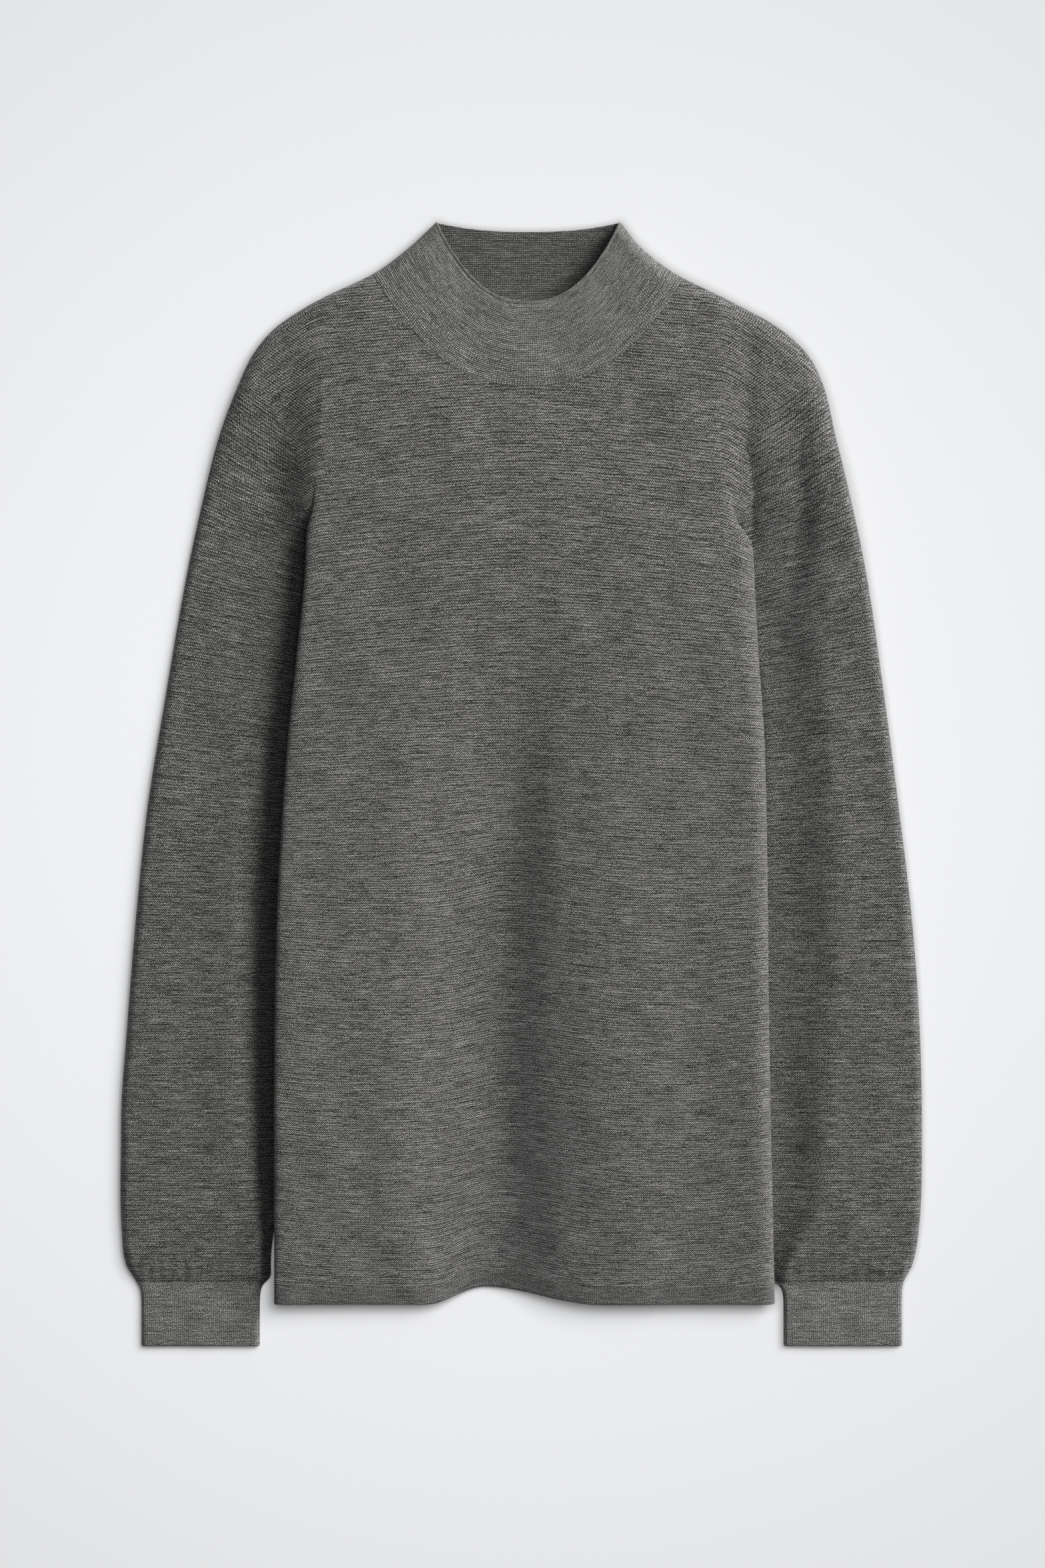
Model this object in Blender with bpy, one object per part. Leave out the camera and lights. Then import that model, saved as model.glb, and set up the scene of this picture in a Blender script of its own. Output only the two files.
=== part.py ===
"""Mock neck sweater, laid out on a surface with its sides turned under.

Metres. +Z is up, +Y runs from the hem to the neck, +X is the side of sleeve_right.
The underside of the cloth lies on z = 0, and the origin is at the middle of the outline.
Every piece is a thin wall: a grid of points on its outer face, offset inwards by the cloth.
Side is +1 for the +X half and -1 for the -X half.
"""
import math

import bpy
import numpy as np

# ---------------------------------------------------------------- driving sizes
CLOTH = 0.0016            # single knit wall
RIB = 0.0018              # wall of collar, cuffs and hem band
GAP = 0.0003              # seam gap between two pieces
NAP = 0.0004              # air between two layers that lie on each other
EASE = 0.0012             # air between the back and the front's turned-in side

NECK_X = 0.0045           # middle of the neck
NECK_HALF = 0.105         # half width of the neck seam
NECK_FRONT_Y = 0.2680     # y of the lowest point of the front neck seam
NECK_BACK_Y = 0.3150      # and of the back neck seam
RIM_FRONT_Y = 0.3253      # y of the lowest point of the front rim of the collar
RIM_BACK_Y = 0.3732       # and of the back rim
RIM_TOP = 0.3795          # y of the two corners of the rim
RIM_HEIGHT = 0.0165       # height of the front rim above the surface
NECK_POWER = 2.4          # shape of the neck curves
COLLAR_ROLL = 0.0080      # reach of the collar's side folds
TOP_HEIGHT = 0.0210       # height of the cloth along neck and shoulders

TOP_Q = 0.2696            # y of the shoulder points, where neck, shoulder and armhole rows end
FOLD_Q = 0.155            # below this the body's side is rolled under
OPEN_Q = 0.200            # above this the body runs into the sleeve through a soft valley
CLEAR_Q = 0.178           # above this the back reaches out to the armhole seam
UNDERARM_Q = 0.117        # the underarm, hidden under the rolled side
TUCK = 0.080              # width of the side that is turned under
MARGIN = 0.0045           # strip of the front next to the armhole seam, above the fold
RAMP = 0.012              # run over which a layer climbs onto the one below it
LIFT_FROM = 0.140         # above this the rows bend up to the neck seam and the shoulder
HEM_TOP = -0.3385         # seam of the hem band
HEM_LOW = -0.3505         # its free edge
SHOULDER_ROLL = 0.0115    # reach of the roll-off along the shoulder
SLEEVE_ROLL = 0.0060      # and along the outer side of the sleeve

STACK = 2 * CLOTH + NAP   # two layers of cloth lying on each other

SLEEVE_END = -0.3365      # end of the sleeve's cloth
CUFF_TOP = -0.3368        # seam of the cuff
CUFF_LOW = -0.3798        # its free edge
CUFF_WIDTH = 0.0800       # laid flat
CUFF_HEIGHT = 0.0060      # of the flattened ring
HEM_BEND = 0.0016         # radius of the fold of the back's hem band

# Outline of the whole garment from above: y, and x of its left and right sides.
OUTLINE = (
    # y, left x, right x
    (0.4200, -0.0120, 0.0210),
    (0.3795, -0.0574, 0.0664),
    (0.3630, -0.0749, 0.0798),
    (0.3445, -0.1000, 0.1040),
    (0.3270, -0.1365, 0.1390),
    (0.3090, -0.1649, 0.1721),
    (0.2910, -0.1807, 0.1924),
    (0.2696, -0.1911, 0.2036),
    (0.2370, -0.2034, 0.2116),
    (0.2009, -0.2131, 0.2203),
    (0.1469, -0.2252, 0.2320),
    (0.0569, -0.2410, 0.2455),
    (-0.0151, -0.2527, 0.2549),
    (-0.0871, -0.2603, 0.2635),
    (-0.1591, -0.2662, 0.2689),
    (-0.2311, -0.2707, 0.2707),
    (-0.3031, -0.2702, 0.2684),
    (-0.3250, -0.2672, 0.2642),
    (-0.3365, -0.2605, 0.2585),
    (-0.3420, -0.2582, 0.2577),
    (-0.4000, -0.2580, 0.2576),
)

# Visible side edge of the body, from the hem up to where it fades into the valley.
BODY_EDGE = (
    # y, left x, right x
    (0.2900, -0.1600, 0.1700),
    (0.2144, -0.1440, 0.1540),
    (0.1627, -0.1450, 0.1560),
    (0.0853, -0.1514, 0.1600),
    (0.0344, -0.1568, 0.1636),
    (-0.0691, -0.1636, 0.1660),
    (-0.1456, -0.1658, 0.1667),
    (-0.3520, -0.1667, 0.1710),
)

# Armhole seam where it shows: y, and x on each side.
ARMHOLE = (
    # y, left x, right x
    (0.2696, -0.1911, 0.2036),
    (0.2670, -0.1865, 0.1935),
    (0.2610, -0.1785, 0.1815),
    (0.2520, -0.1690, 0.1725),
    (0.2414, -0.1605, 0.1640),
    (0.2250, -0.1530, 0.1560),
    (0.2144, -0.1500, 0.1535),
    (0.1680, -0.1465, 0.1535),
)

# Sections of the body: reach of each rolled side, heights of its middle and of its side.
BODY_SECTION = (
    # y, left roll, right roll, middle height, side height
    (0.2900, 0.026, 0.026, 0.0210, 0.0210),
    (0.2696, 0.026, 0.026, 0.0210, 0.0210),
    (0.2450, 0.021, 0.022, 0.0230, 0.0215),
    (0.2144, 0.017, 0.020, 0.0250, 0.0225),
    (0.1627, 0.013, 0.015, 0.0262, 0.0250),
    (0.0853, 0.011, 0.012, 0.0262, 0.0262),
    (-0.0344, 0.011, 0.011, 0.0240, 0.0262),
    (-0.1456, 0.011, 0.011, 0.0215, 0.0255),
    (-0.2600, 0.011, 0.011, 0.0190, 0.0235),
    (-0.3520, 0.010, 0.010, 0.0165, 0.0195),
)

# Fold down the middle of the front: y, x of its bottom, depth, and width of its two flanks.
MIDDLE_FOLD = (
    # y, x, depth, left flank, right flank
    (0.1000, 0.004, 0.0000, 0.050, 0.080),
    (0.0344, -0.001, 0.0018, 0.048, 0.082),
    (-0.0500, -0.008, 0.0046, 0.044, 0.084),
    (-0.1456, -0.013, 0.0120, 0.040, 0.084),
    (-0.2806, -0.018, 0.0142, 0.036, 0.084),
    (-0.3520, -0.025, 0.0120, 0.038, 0.078),
)
HEM_LIFT = 0.0110         # the fold draws the hem up by this much
HEM_LIFT_REACH = 0.110    # and the rows above it over this distance

# Sections of the sleeve: width laid flat, height of the crest, height and run of the inner side.
SLEEVE_SECTION = (
    # y, width, crest height, seam height, rise
    (0.2696, 0.160, 0.0210, 0.0208, 0.030),
    (0.2560, 0.160, 0.0200, 0.0185, 0.030),
    (0.2414, 0.160, 0.0188, 0.0150, 0.028),
    (0.2144, 0.160, 0.0170, 0.0095, 0.024),
    (0.1900, 0.160, 0.0160, 0.0068, 0.022),
    (0.1550, 0.160, 0.0152, 0.0036, 0.021),
    (0.1170, 0.160, 0.0146, 0.0036, 0.021),
    (0.0000, 0.144, 0.0140, 0.0036, 0.022),
    (-0.1000, 0.132, 0.0135, 0.0036, 0.024),
    (-0.2000, 0.120, 0.0130, 0.0036, 0.026),
    (-0.2800, 0.107, 0.0125, 0.0036, 0.024),
    (-0.3200, 0.094, 0.0110, 0.0036, 0.016),
    (-0.3365, 0.082, 0.0084, 0.0036, 0.009),
)

FAN = 0.30                # share of the sleeve's length over which its rows turn level

# Where the rows and columns of the grids lie.
SLEEVE_ROWS = (0, .018, .05, .09, .14, .19, .245, .31, .4, .52, .65, .78, .88, .95, 1)
SEAM_ROWS = (UNDERARM_Q, 0.136, FOLD_Q, 0.172, 0.179, 0.189, OPEN_Q, 0.218,
             0.238, 0.255, 0.2625, 0.2664, 0.2688, TOP_Q)
SIDE_ROWS = (HEM_TOP, -0.29, -0.25, -0.225, -0.18, -0.10, -0.02, 0.045, 0.085)
ROLL_STEPS = (1, .62, .29, .076, 0)   # distance from an outline, as a share of the roll
RISE_STEPS = (0.33, 0.66, 1)          # distance from the foot of the sleeve's rise, as a share of it
NECK_STEPS = (0, .15, .30, .45, .60, .73, .84, .945, .98, 1)   # across half of the front neck
NAPE_STEPS = (0, .22, .44, .66, .84, .945, .98, 1)             # across half of the back neck
SHOULDER_STEPS = (.5, 1)              # from the neck corner to the start of the side
SIDE_STEPS = np.linspace(0, 1, 6)[1:]     # round the body's rolled side
STRIP_STEPS = np.linspace(0, 1, 4)[1:]    # across the strip next to its sewn edge
COLLAR_ROWS = 6

COLOURS = {
    "knit": (0.125, 0.120, 0.112),
    "rib": (0.132, 0.127, 0.119),
}


# ---------------------------------------------------------------- curves and heights
def column(table, at, index):
    """Smooth curve through one column of a table whose first column is y."""
    rows = sorted(table)
    y = np.array([row[0] for row in rows], float)
    v = np.array([row[index] for row in rows], float)
    step = np.diff(v) / np.diff(y)
    slope = np.concatenate(([step[0]], (step[:-1] + step[1:]) / 2, [step[-1]]))
    flat = step[:-1] * step[1:] <= 0
    slope[1:-1][flat] = 0
    at = np.clip(np.asarray(at, float), y[0], y[-1])
    i = np.clip(np.searchsorted(y, at) - 1, 0, len(y) - 2)
    width = y[i + 1] - y[i]
    t = (at - y[i]) / width
    return ((2 * t**3 - 3 * t**2 + 1) * v[i] + (t**3 - 2 * t**2 + t) * width * slope[i]
            + (3 * t**2 - 2 * t**3) * v[i + 1] + (t**3 - t**2) * width * slope[i + 1])


def sided(table, at, side):
    """Distance of a left or right edge from x = 0."""
    return side * column(table, at, 2 if side > 0 else 1)


def smooth(t):
    """Eased step from 0 to 1."""
    t = np.clip(t, 0.0, 1.0)
    return t * t * (3 - 2 * t)


def mix(a, b, share):
    """Value between a and b at the given share."""
    return a + (b - a) * share


def outline_line(side):
    """One side of the outline as a fine line, from the neck down to the cuff."""
    y = np.arange(OUTLINE[0][0], OUTLINE[-1][0], -0.002)
    return np.stack((side * sided(OUTLINE, y, side), y), axis=-1)


LINES = {side: outline_line(side) for side in (1, -1)}


def outline_distance(x, y, side):
    """Shortest distance from points to the garment's outline, seen from above."""
    line = LINES[side]
    start, run = line[:-1], np.diff(line, axis=0)
    point = np.stack((x, y), axis=-1)[..., None, :]
    t = np.clip(((point - start) * run).sum(-1) / (run**2).sum(-1), 0, 1)
    near = start + t[..., None] * run
    return np.sqrt(((point - near) ** 2).sum(-1)).min(-1)


def rounded(distance, reach):
    """Quarter ellipse: 0 on the outline, 1 at the reach and beyond."""
    t = 1 - np.clip(distance / reach, 0, 1)
    return np.sqrt(np.maximum(0, 1 - t * t))


def roll_reach(y):
    """Reach of the roll-off along the outline, from the sleeve up to the shoulder."""
    return mix(SLEEVE_ROLL, SHOULDER_ROLL, smooth((np.asarray(y) - 0.20) / 0.06))


def middle_fold(x, y):
    """Depth of the soft fold down the middle of the front."""
    off = x - column(MIDDLE_FOLD, y, 1)
    flank = np.where(off < 0, column(MIDDLE_FOLD, y, 3), column(MIDDLE_FOLD, y, 4))
    steep = smooth(1 - np.abs(off) / (0.62 * flank))
    gentle = smooth(1 - np.abs(off) / flank)
    return column(MIDDLE_FOLD, y, 2) * mix(gentle, steep, 0.5)


def hem_lift(x, y):
    """How far a point near the hem is drawn up by the middle fold."""
    off = x - MIDDLE_FOLD[-1][1]
    flank = np.where(off < 0, MIDDLE_FOLD[-1][3], MIDDLE_FOLD[-1][4])
    return HEM_LIFT * smooth(1 - np.abs(off) / flank) * smooth(1 - (y - HEM_LOW) / HEM_LIFT_REACH)


def side_roll(q, side):
    """Reach of the body's rolled side."""
    return column(BODY_SECTION, q, 2 if side > 0 else 1)


def roll_start(q, side):
    """Distance from x = 0 at which the body's side begins to roll off."""
    return sided(BODY_EDGE, q, side) - side_roll(q, side)


def tuck_end(q, side):
    """Inner end of the turned-under side: side seam below the underarm, armhole above it."""
    low = sided(BODY_EDGE, q, side) - TUCK
    share = np.clip((q - UNDERARM_Q) / (FOLD_Q - UNDERARM_Q), 0, 1)
    return mix(low, roll_start(q, side) - MARGIN, share**1.3)


def sleeve_inner(y, side):
    """Underarm side of the sleeve, as laid out."""
    below = sided(OUTLINE, y, side) - column(SLEEVE_SECTION, y, 1)
    at_underarm = sided(OUTLINE, UNDERARM_Q, side) - column(SLEEVE_SECTION, UNDERARM_Q, 1)
    shift = tuck_end(UNDERARM_Q, side) - at_underarm
    return below + shift * smooth((y + 0.05) / (UNDERARM_Q + 0.05))


def covered_from(y, side):
    """Distance from x = 0 at which the sleeve layers under the body begin, with a little ease."""
    return np.where(y < UNDERARM_Q, sleeve_inner(y, side), tuck_end(y, side)) - 0.005


def under_body(d, y, side):
    """Height of the sleeve layers that lie under the body at distance d from x = 0."""
    return (STACK + GAP) * smooth((d - covered_from(y, side)) / RAMP + 1)


def folded(q):
    """0 where the body runs into the sleeve, 1 where its side is rolled under."""
    return smooth((OPEN_Q - q) / (OPEN_Q - FOLD_Q))


def seam_distance(q, side):
    """Distance from x = 0 of the armhole seam at height q."""
    return mix(sided(ARMHOLE, q, side), tuck_end(q, side), folded(q))


def seam_height(q):
    """Height of the armhole seam, and of the sleeve layers under the body."""
    return np.maximum(column(SLEEVE_SECTION, q, 3), STACK)


def neck_curve(s, corner, middle):
    """Curve across the neck: y at share s of the half width, from the middle to the corner."""
    return middle + (corner - middle) * np.abs(s) ** NECK_POWER


def shoulder_y(x, side):
    """y of the outline at a given distance from x = 0."""
    line = LINES[side]
    return np.interp(side * x, side * line[:, 0], line[:, 1])


def junction_y(side):
    """y where the neck seam meets the outline."""
    return shoulder_y(NECK_X + side * NECK_HALF, side)


# ---------------------------------------------------------------- surfaces
def plateau_shares(side):
    """Columns over the flat of one half, as shares of its width; one meets the neck corner."""
    corner = NECK_HALF / (roll_start(TOP_Q, side) - side * NECK_X)
    return np.concatenate((np.array(NECK_STEPS) * corner, mix(corner, 1, np.array(SHOULDER_STEPS))))


def top_row(side, x, neck_middle):
    """y of the upper edge of a body panel: neck seam, then shoulder."""
    s = (x - NECK_X) * side / NECK_HALF
    neck = neck_curve(s, junction_y(side), neck_middle) - GAP
    return np.where(s < 1.001, neck, shoulder_y(x, side))


def bezier(points, t):
    """Points of a cubic curve at shares t."""
    a, b, c, d = (np.asarray(point, float) for point in points)
    t = t[:, None]
    return (1 - t)**3 * a + 3 * (1 - t)**2 * t * b + 3 * (1 - t) * t**2 * c + t**3 * d


def side_section(q, side):
    """Distance and height across the front's side: its roll or valley, then the last strip."""
    start = float(roll_start(q, side))
    high = float(column(BODY_SECTION, q, 4))
    if q <= FOLD_Q:
        end = np.array((start, under_body(start, q, side)))
        low = float(tuck_end(q, side))
        climb = np.clip(covered_from(q, side), low + 0.004, start - 0.008)
        foot = max(climb - RAMP, low + 0.002)
        d = np.array((climb, foot, low)) if q < UNDERARM_Q else mix(start, low, STRIP_STEPS)
        strip = np.stack((d, under_body(d, q, side)), axis=-1)
        turn = -math.pi
    else:
        seam = np.array((seam_distance(q, side), max(seam_height(q), STACK + GAP)))
        turn = -math.pi * float(folded(q))
        end = seam - MARGIN * np.array((math.cos(turn), math.sin(turn)))
        strip = mix(end, seam, STRIP_STEPS[:, None])
    open_reach = 0.45 * (sided(ARMHOLE, q, side) - start)
    reach = mix(open_reach, 4 / 3 * side_roll(q, side), folded(q) ** 2)
    curve = bezier(((start, high), (start + reach, high),
                    end - reach * np.array((math.cos(turn), math.sin(turn))), end), SIDE_STEPS)
    return np.concatenate((curve, strip))


def front_half(side, rows):
    """Outer face of one half of the front, from the middle out to its sewn edge."""
    plateau = plateau_shares(side)
    grid = []
    x_top = np.concatenate((NECK_X + side * plateau * (roll_start(TOP_Q, side) - side * NECK_X),
                            side * side_section(TOP_Q, side)[:, 0]))
    top_lift = top_row(side, x_top, NECK_FRONT_Y) - TOP_Q
    top_lift[-1] = 0
    for q in rows:
        start = roll_start(q, side)
        section = side_section(q, side)
        x = np.concatenate((NECK_X + side * plateau * (start - side * NECK_X),
                            side * section[:, 0]))
        z = np.concatenate((mix(column(BODY_SECTION, q, 3), column(BODY_SECTION, q, 4), plateau**2),
                            section[:, 1]))
        # the upper rows bend up to the neck seam and the shoulder
        y = q + top_lift * smooth((q - LIFT_FROM) / (TOP_Q - LIFT_FROM)) ** 1.2
        y = y + hem_lift(x, y)
        z = z - middle_fold(x, y)
        if q > 0.2:
            near = rounded(outline_distance(x, y, side), roll_reach(y))
            z = mix(TOP_HEIGHT / 2 + GAP / 2, z, near)
        grid.append(np.stack((x, y, z), axis=-1))
    return np.array(grid)


def front_face(rows):
    """Outer face of the front, from its left sewn edge to its right one."""
    left = front_half(-1, rows)[:, :0:-1]
    right = front_half(1, rows)
    return np.concatenate((left, right), axis=1)


def seam_length(side):
    """Rows along the armhole seam, and the seam's length from the underarm up to each."""
    q = np.linspace(UNDERARM_Q, TOP_Q, 160)
    x = seam_distance(q, side)
    return q, np.concatenate(([0], np.cumsum(np.hypot(np.diff(x), np.diff(q)))))


def seam_curve(side, share):
    """Points of the armhole seam at shares of its length, from underarm to shoulder."""
    q, run = seam_length(side)
    at = np.interp(np.asarray(share) * run[-1], run, q)
    return np.stack((side * seam_distance(at, side), at), axis=-1)


def sleeve_ends(side, v):
    """Inner and outer end of the sleeve's row at share v of its length."""
    inner_y = mix(UNDERARM_Q, SLEEVE_END, v)
    outer_y = inner_y + (TOP_Q - UNDERARM_Q) * max(0.0, 1 - v / FAN) ** 2
    return (np.array((side * sleeve_inner(inner_y, side), inner_y)),
            np.array((side * sided(OUTLINE, outer_y, side), outer_y)))


def sleeve_plan(side, u, v):
    """Sleeve laid out: u from the underarm side (0) to the outer side (1), v from seam to cuff."""
    u = u[:, None]
    inner, outer = sleeve_ends(side, v)
    if v >= FAN:
        return mix(inner, outer, u)
    seam = seam_curve(side, u[:, 0])
    underarm, shoulder = seam_curve(side, (0, 1))
    level_in, level_out = sleeve_ends(side, FAN)
    share_in = (underarm[1] - inner[1]) / (underarm[1] - level_in[1])
    share_out = (shoulder[1] - outer[1]) / (shoulder[1] - level_out[1])
    plan = mix(seam, mix(level_in, level_out, u), mix(share_in, share_out, u))
    shift_in = inner - mix(underarm, level_in, share_in)
    shift_out = outer - mix(shoulder, level_out, share_out)
    return plan + mix(shift_in, shift_out, u)


def rise_start(y, side):
    """Distance from x = 0 at which the sleeve comes up from under the body, or from its seam."""
    start = roll_start(y, side) + 0.006
    start = np.where(y > FOLD_Q, np.maximum(start, seam_distance(y, side)), start)
    free = 1 - smooth((y - HEM_LOW) / 0.05)
    return mix(start, sleeve_inner(y, side), free)


def sleeve_height(x, y, side):
    """Height of the sleeve's front layer away from its outer side."""
    share = (side * x - rise_start(y, side)) / column(SLEEVE_SECTION, y, 4)
    return mix(seam_height(y), column(SLEEVE_SECTION, y, 2), smooth(share))


def sleeve_shares(side, v):
    """Columns of the sleeve's front layer: hidden part, rise, crest, roll of the outer side."""
    u = np.linspace(0, 1, 120)
    line = sleeve_plan(side, u, v)
    run = np.hypot(*(line[-1] - line[0]))
    out = side * line[:, 0] > rise_start(line[:, 1], side) + 1e-6
    cross = max(u[np.argmax(out)], 0.05)
    near = 1 - np.array(ROLL_STEPS) * roll_reach(line[-1][1]) / run
    top = min(cross + float(column(SLEEVE_SECTION, line[-1][1], 4)) / run, mix(cross, near[0], 0.7))
    rise = mix(cross, top, np.array(RISE_STEPS))
    crest = mix(top, near[0], np.array((1 / 3, 2 / 3)))
    return np.concatenate((np.array((0, 1 / 3, 2 / 3, 1)) * cross, rise, crest, near))


def sleeve_face(side):
    """Outer face of the sleeve: front layer, round the outer side, back layer."""
    q, run = seam_length(side)
    seam_shares = np.interp(SEAM_ROWS, q, run / run[-1])
    grid = []
    for v in SLEEVE_ROWS:
        u = mix(sleeve_shares(side, v), seam_shares, max(0.0, 1 - v / 0.08)) if v else seam_shares
        plan = sleeve_plan(side, u, v)
        if v == 0:
            tangent = np.gradient(plan, axis=0)
            normal = np.stack((tangent[:, 1], -tangent[:, 0]), axis=-1) * side
            plan = plan + GAP * normal / np.linalg.norm(normal, axis=-1, keepdims=True)
        x, y = plan[:, 0], plan[:, 1]
        away = rounded(outline_distance(x, y, side), roll_reach(y))
        away[-1] = 0
        crest = sleeve_height(x, y, side)
        half = mix(crest / 2, TOP_HEIGHT / 2, smooth((y - 0.15) / 0.10))
        top = mix(half, crest, away)
        front = np.stack((x, y, top), axis=-1)
        back = np.stack((x, y, half * (1 - away)), axis=-1)
        grid.append(np.concatenate((front, back[-2::-1])))
    return np.array(grid)


def back_columns(q, side):
    """Distances from x = 0 across one half of the back: flat, up onto the tuck, over it."""
    inside = float(roll_start(q, side)) - 0.006
    limit = float(mix(seam_distance(q, side) - GAP / 2, inside, smooth((CLEAR_Q - q) / 0.012)))
    end = min(float(tuck_end(q, side)), limit - 0.006)
    climb = float(np.clip(covered_from(q, side), end + 0.004, limit - 0.002))
    layered = np.array((end - 0.022, end - 0.011, end, max(climb - RAMP, end + 0.002),
                        climb, limit))
    knee = mix(0.6 * limit, side * NECK_X + NECK_HALF, smooth((q - FOLD_Q) / (TOP_Q - FOLD_Q)))
    plain = mix(knee, limit, np.linspace(0, 1, 6))
    layered = mix(layered, plain, float(smooth((q - FOLD_Q) / (CLEAR_Q - FOLD_Q))))
    flat = side * NECK_X + np.array(NAPE_STEPS) * (layered[0] - side * NECK_X)
    return np.concatenate((flat, layered[1:]))


def back_heights(d, q, side):
    """Underside and thickness of the back: single on the surface, double over the tuck."""
    fade = 1 - smooth((q - FOLD_Q) / 0.012)
    inside = d - tuck_end(q, side)
    rest = under_body(np.maximum(d, tuck_end(q, side)), q, side) + CLOTH + EASE
    under = rest * smooth((inside + 0.022) / 0.018) * fade
    thick = CLOTH + (STACK - CLOTH) * smooth(inside / RAMP) * fade
    return under, thick


def back_faces(rows):
    """Lower face of the back panel and its thickness."""
    lower, thickness = [], []
    for q in rows:
        low_row, thick_row = {}, {}
        for side in (-1, 1):
            x = side * back_columns(q, side)
            lift = top_row(side, side * back_columns(TOP_Q, side), NECK_BACK_Y) - TOP_Q
            lift[-1] = 0
            y = q + lift * smooth((q - LIFT_FROM) / (TOP_Q - LIFT_FROM)) ** 1.2
            y = y + hem_lift(x, y)
            under, thick = back_heights(side * x, q, side)
            if q > 0.2:
                near = rounded(outline_distance(x, y, side), roll_reach(y))
                under = mix(TOP_HEIGHT / 2 - GAP / 2, under, near)
            low_row[side] = np.stack((x, y, under), axis=-1)
            thick_row[side] = thick
        lower.append(np.concatenate((low_row[-1][:0:-1], low_row[1])))
        thickness.append(np.concatenate((thick_row[-1][:0:-1], thick_row[1])))
    return np.array(lower), np.array(thickness)


def collar_face(rows):
    """Outer face of the collar: front, right side fold, back, left side fold."""
    grid = []
    for v in rows:
        height = mix(TOP_HEIGHT, RIM_HEIGHT, v)
        reach = mix(SHOULDER_ROLL, COLLAR_ROLL, smooth(v / 0.3))
        half = {}
        for side in (-1, 1):
            corner = mix(junction_y(side), RIM_TOP, v)
            wide = sided(OUTLINE, corner, side) - side * NECK_X
            for steps, seam, rim, lean in ((NECK_STEPS, NECK_FRONT_Y, RIM_FRONT_Y, 1),
                                           (NAPE_STEPS, NECK_BACK_Y, RIM_BACK_Y, -1)):
                steps = np.array(steps[:-1] + (.995, 1))
                x = NECK_X + side * steps * wide
                y = neck_curve(steps, corner, mix(seam, rim, v))
                near = rounded(outline_distance(x, y, side), reach)
                near[-1] = 0
                half[side, lean] = np.stack((x, y, height / 2 * (1 + lean * near)), axis=-1)
        grid.append(np.concatenate((half[1, 1], half[1, -1][-2::-1],
                                    half[-1, -1][1:], half[-1, 1][-2:0:-1])))
    return np.array(grid)


def cuff_face(side, rows):
    """Outer face of a cuff: a flattened ring."""
    bend = CUFF_HEIGHT / 2
    arc = np.linspace(math.pi / 2, -math.pi / 2, 7)
    flat = np.linspace(-1, 1, 5)[1:-1] * (CUFF_WIDTH / 2 - bend)
    outer_x = CUFF_WIDTH / 2 - bend + bend * np.cos(arc)
    x = np.concatenate((flat, outer_x, -flat, -outer_x[::-1]))
    z = bend + np.concatenate((np.full(3, bend), bend * np.sin(arc), np.full(3, -bend),
                               bend * np.sin(arc[::-1])))
    grid = []
    middle = side * (sided(OUTLINE, CUFF_LOW, side) - CUFF_WIDTH / 2)
    for y in rows:
        grid.append(np.stack((middle + side * x, np.full(len(x), y), z), axis=-1))
    return np.array(grid)


def hem_back_face(rows):
    """Outside of the back's hem band: on the surface, over the tuck, round the fold, back inside."""
    pitch = RIB + NAP
    bend = HEM_BEND
    turn = np.linspace(math.pi / 2, -math.pi / 2, 5)
    grid = []
    for q in rows:
        half = {}
        for side in (-1, 1):
            end = float(tuck_end(q, side))
            start = float(roll_start(q, side))
            flat = back_columns(q, side)[:len(NAPE_STEPS)]
            climb = np.linspace(0, 1, 5)[1:]
            d = np.concatenate((flat, end - 0.022 + 0.021 * climb,
                                np.linspace(end + 0.01, start - 0.008, 4),
                                (start - 0.006,), start - 0.003 + bend * np.cos(turn),
                                np.linspace(start - 0.008, end + GAP, 5)))
            z = np.concatenate((np.zeros(len(flat)), 2 * pitch * smooth(climb), np.full(4, 2 * pitch),
                                (2 * pitch + bend,), 2 * pitch - NAP + bend + bend * np.sin(turn),
                                np.full(5, 2 * pitch - NAP)))
            x = side * d
            half[side] = np.stack((x, q + hem_lift(x, q), z), axis=-1)
        grid.append(np.concatenate((half[-1][:0:-1], half[1])))
    return np.array(grid)


# ---------------------------------------------------------------- solids
def point_normals(face, ring):
    """Unit normal at each grid point, from the quads around it."""
    if ring:
        face = np.concatenate((face[:, -1:], face, face[:, :1]), axis=1)
    a, b, c, d = face[:-1, :-1], face[:-1, 1:], face[1:, 1:], face[1:, :-1]
    quad = np.cross(c - a, d - b)
    quad /= np.maximum(np.linalg.norm(quad, axis=-1, keepdims=True), 1e-12)
    total = np.zeros_like(face)
    for rows in (slice(0, -1), slice(1, None)):
        for columns in (slice(0, -1), slice(1, None)):
            total[rows, columns] += quad
    if ring:
        total = total[:, 1:-1]
    return total / np.linalg.norm(total, axis=-1, keepdims=True)


def level_ends(normals):
    """Normals of the first and last rows made level where they nearly are."""
    for row in (0, -1):
        steep = np.abs(normals[row, :, 2]) < 0.65
        normals[row, steep, 2] = 0
        normals[row] /= np.linalg.norm(normals[row], axis=-1, keepdims=True)


def along_edge(edge, normals):
    """Normals of an edge turned to lean only along it, as seen from above."""
    run = np.diff(edge[:, :2], axis=0)
    run = np.concatenate((run, run[-1:]))
    run /= np.linalg.norm(run, axis=-1, keepdims=True)
    lean = (normals[:, :2] * run).sum(-1, keepdims=True)
    turned = np.concatenate((run * lean, normals[:, 2:]), axis=-1)
    return turned / np.linalg.norm(turned, axis=-1, keepdims=True)


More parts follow.
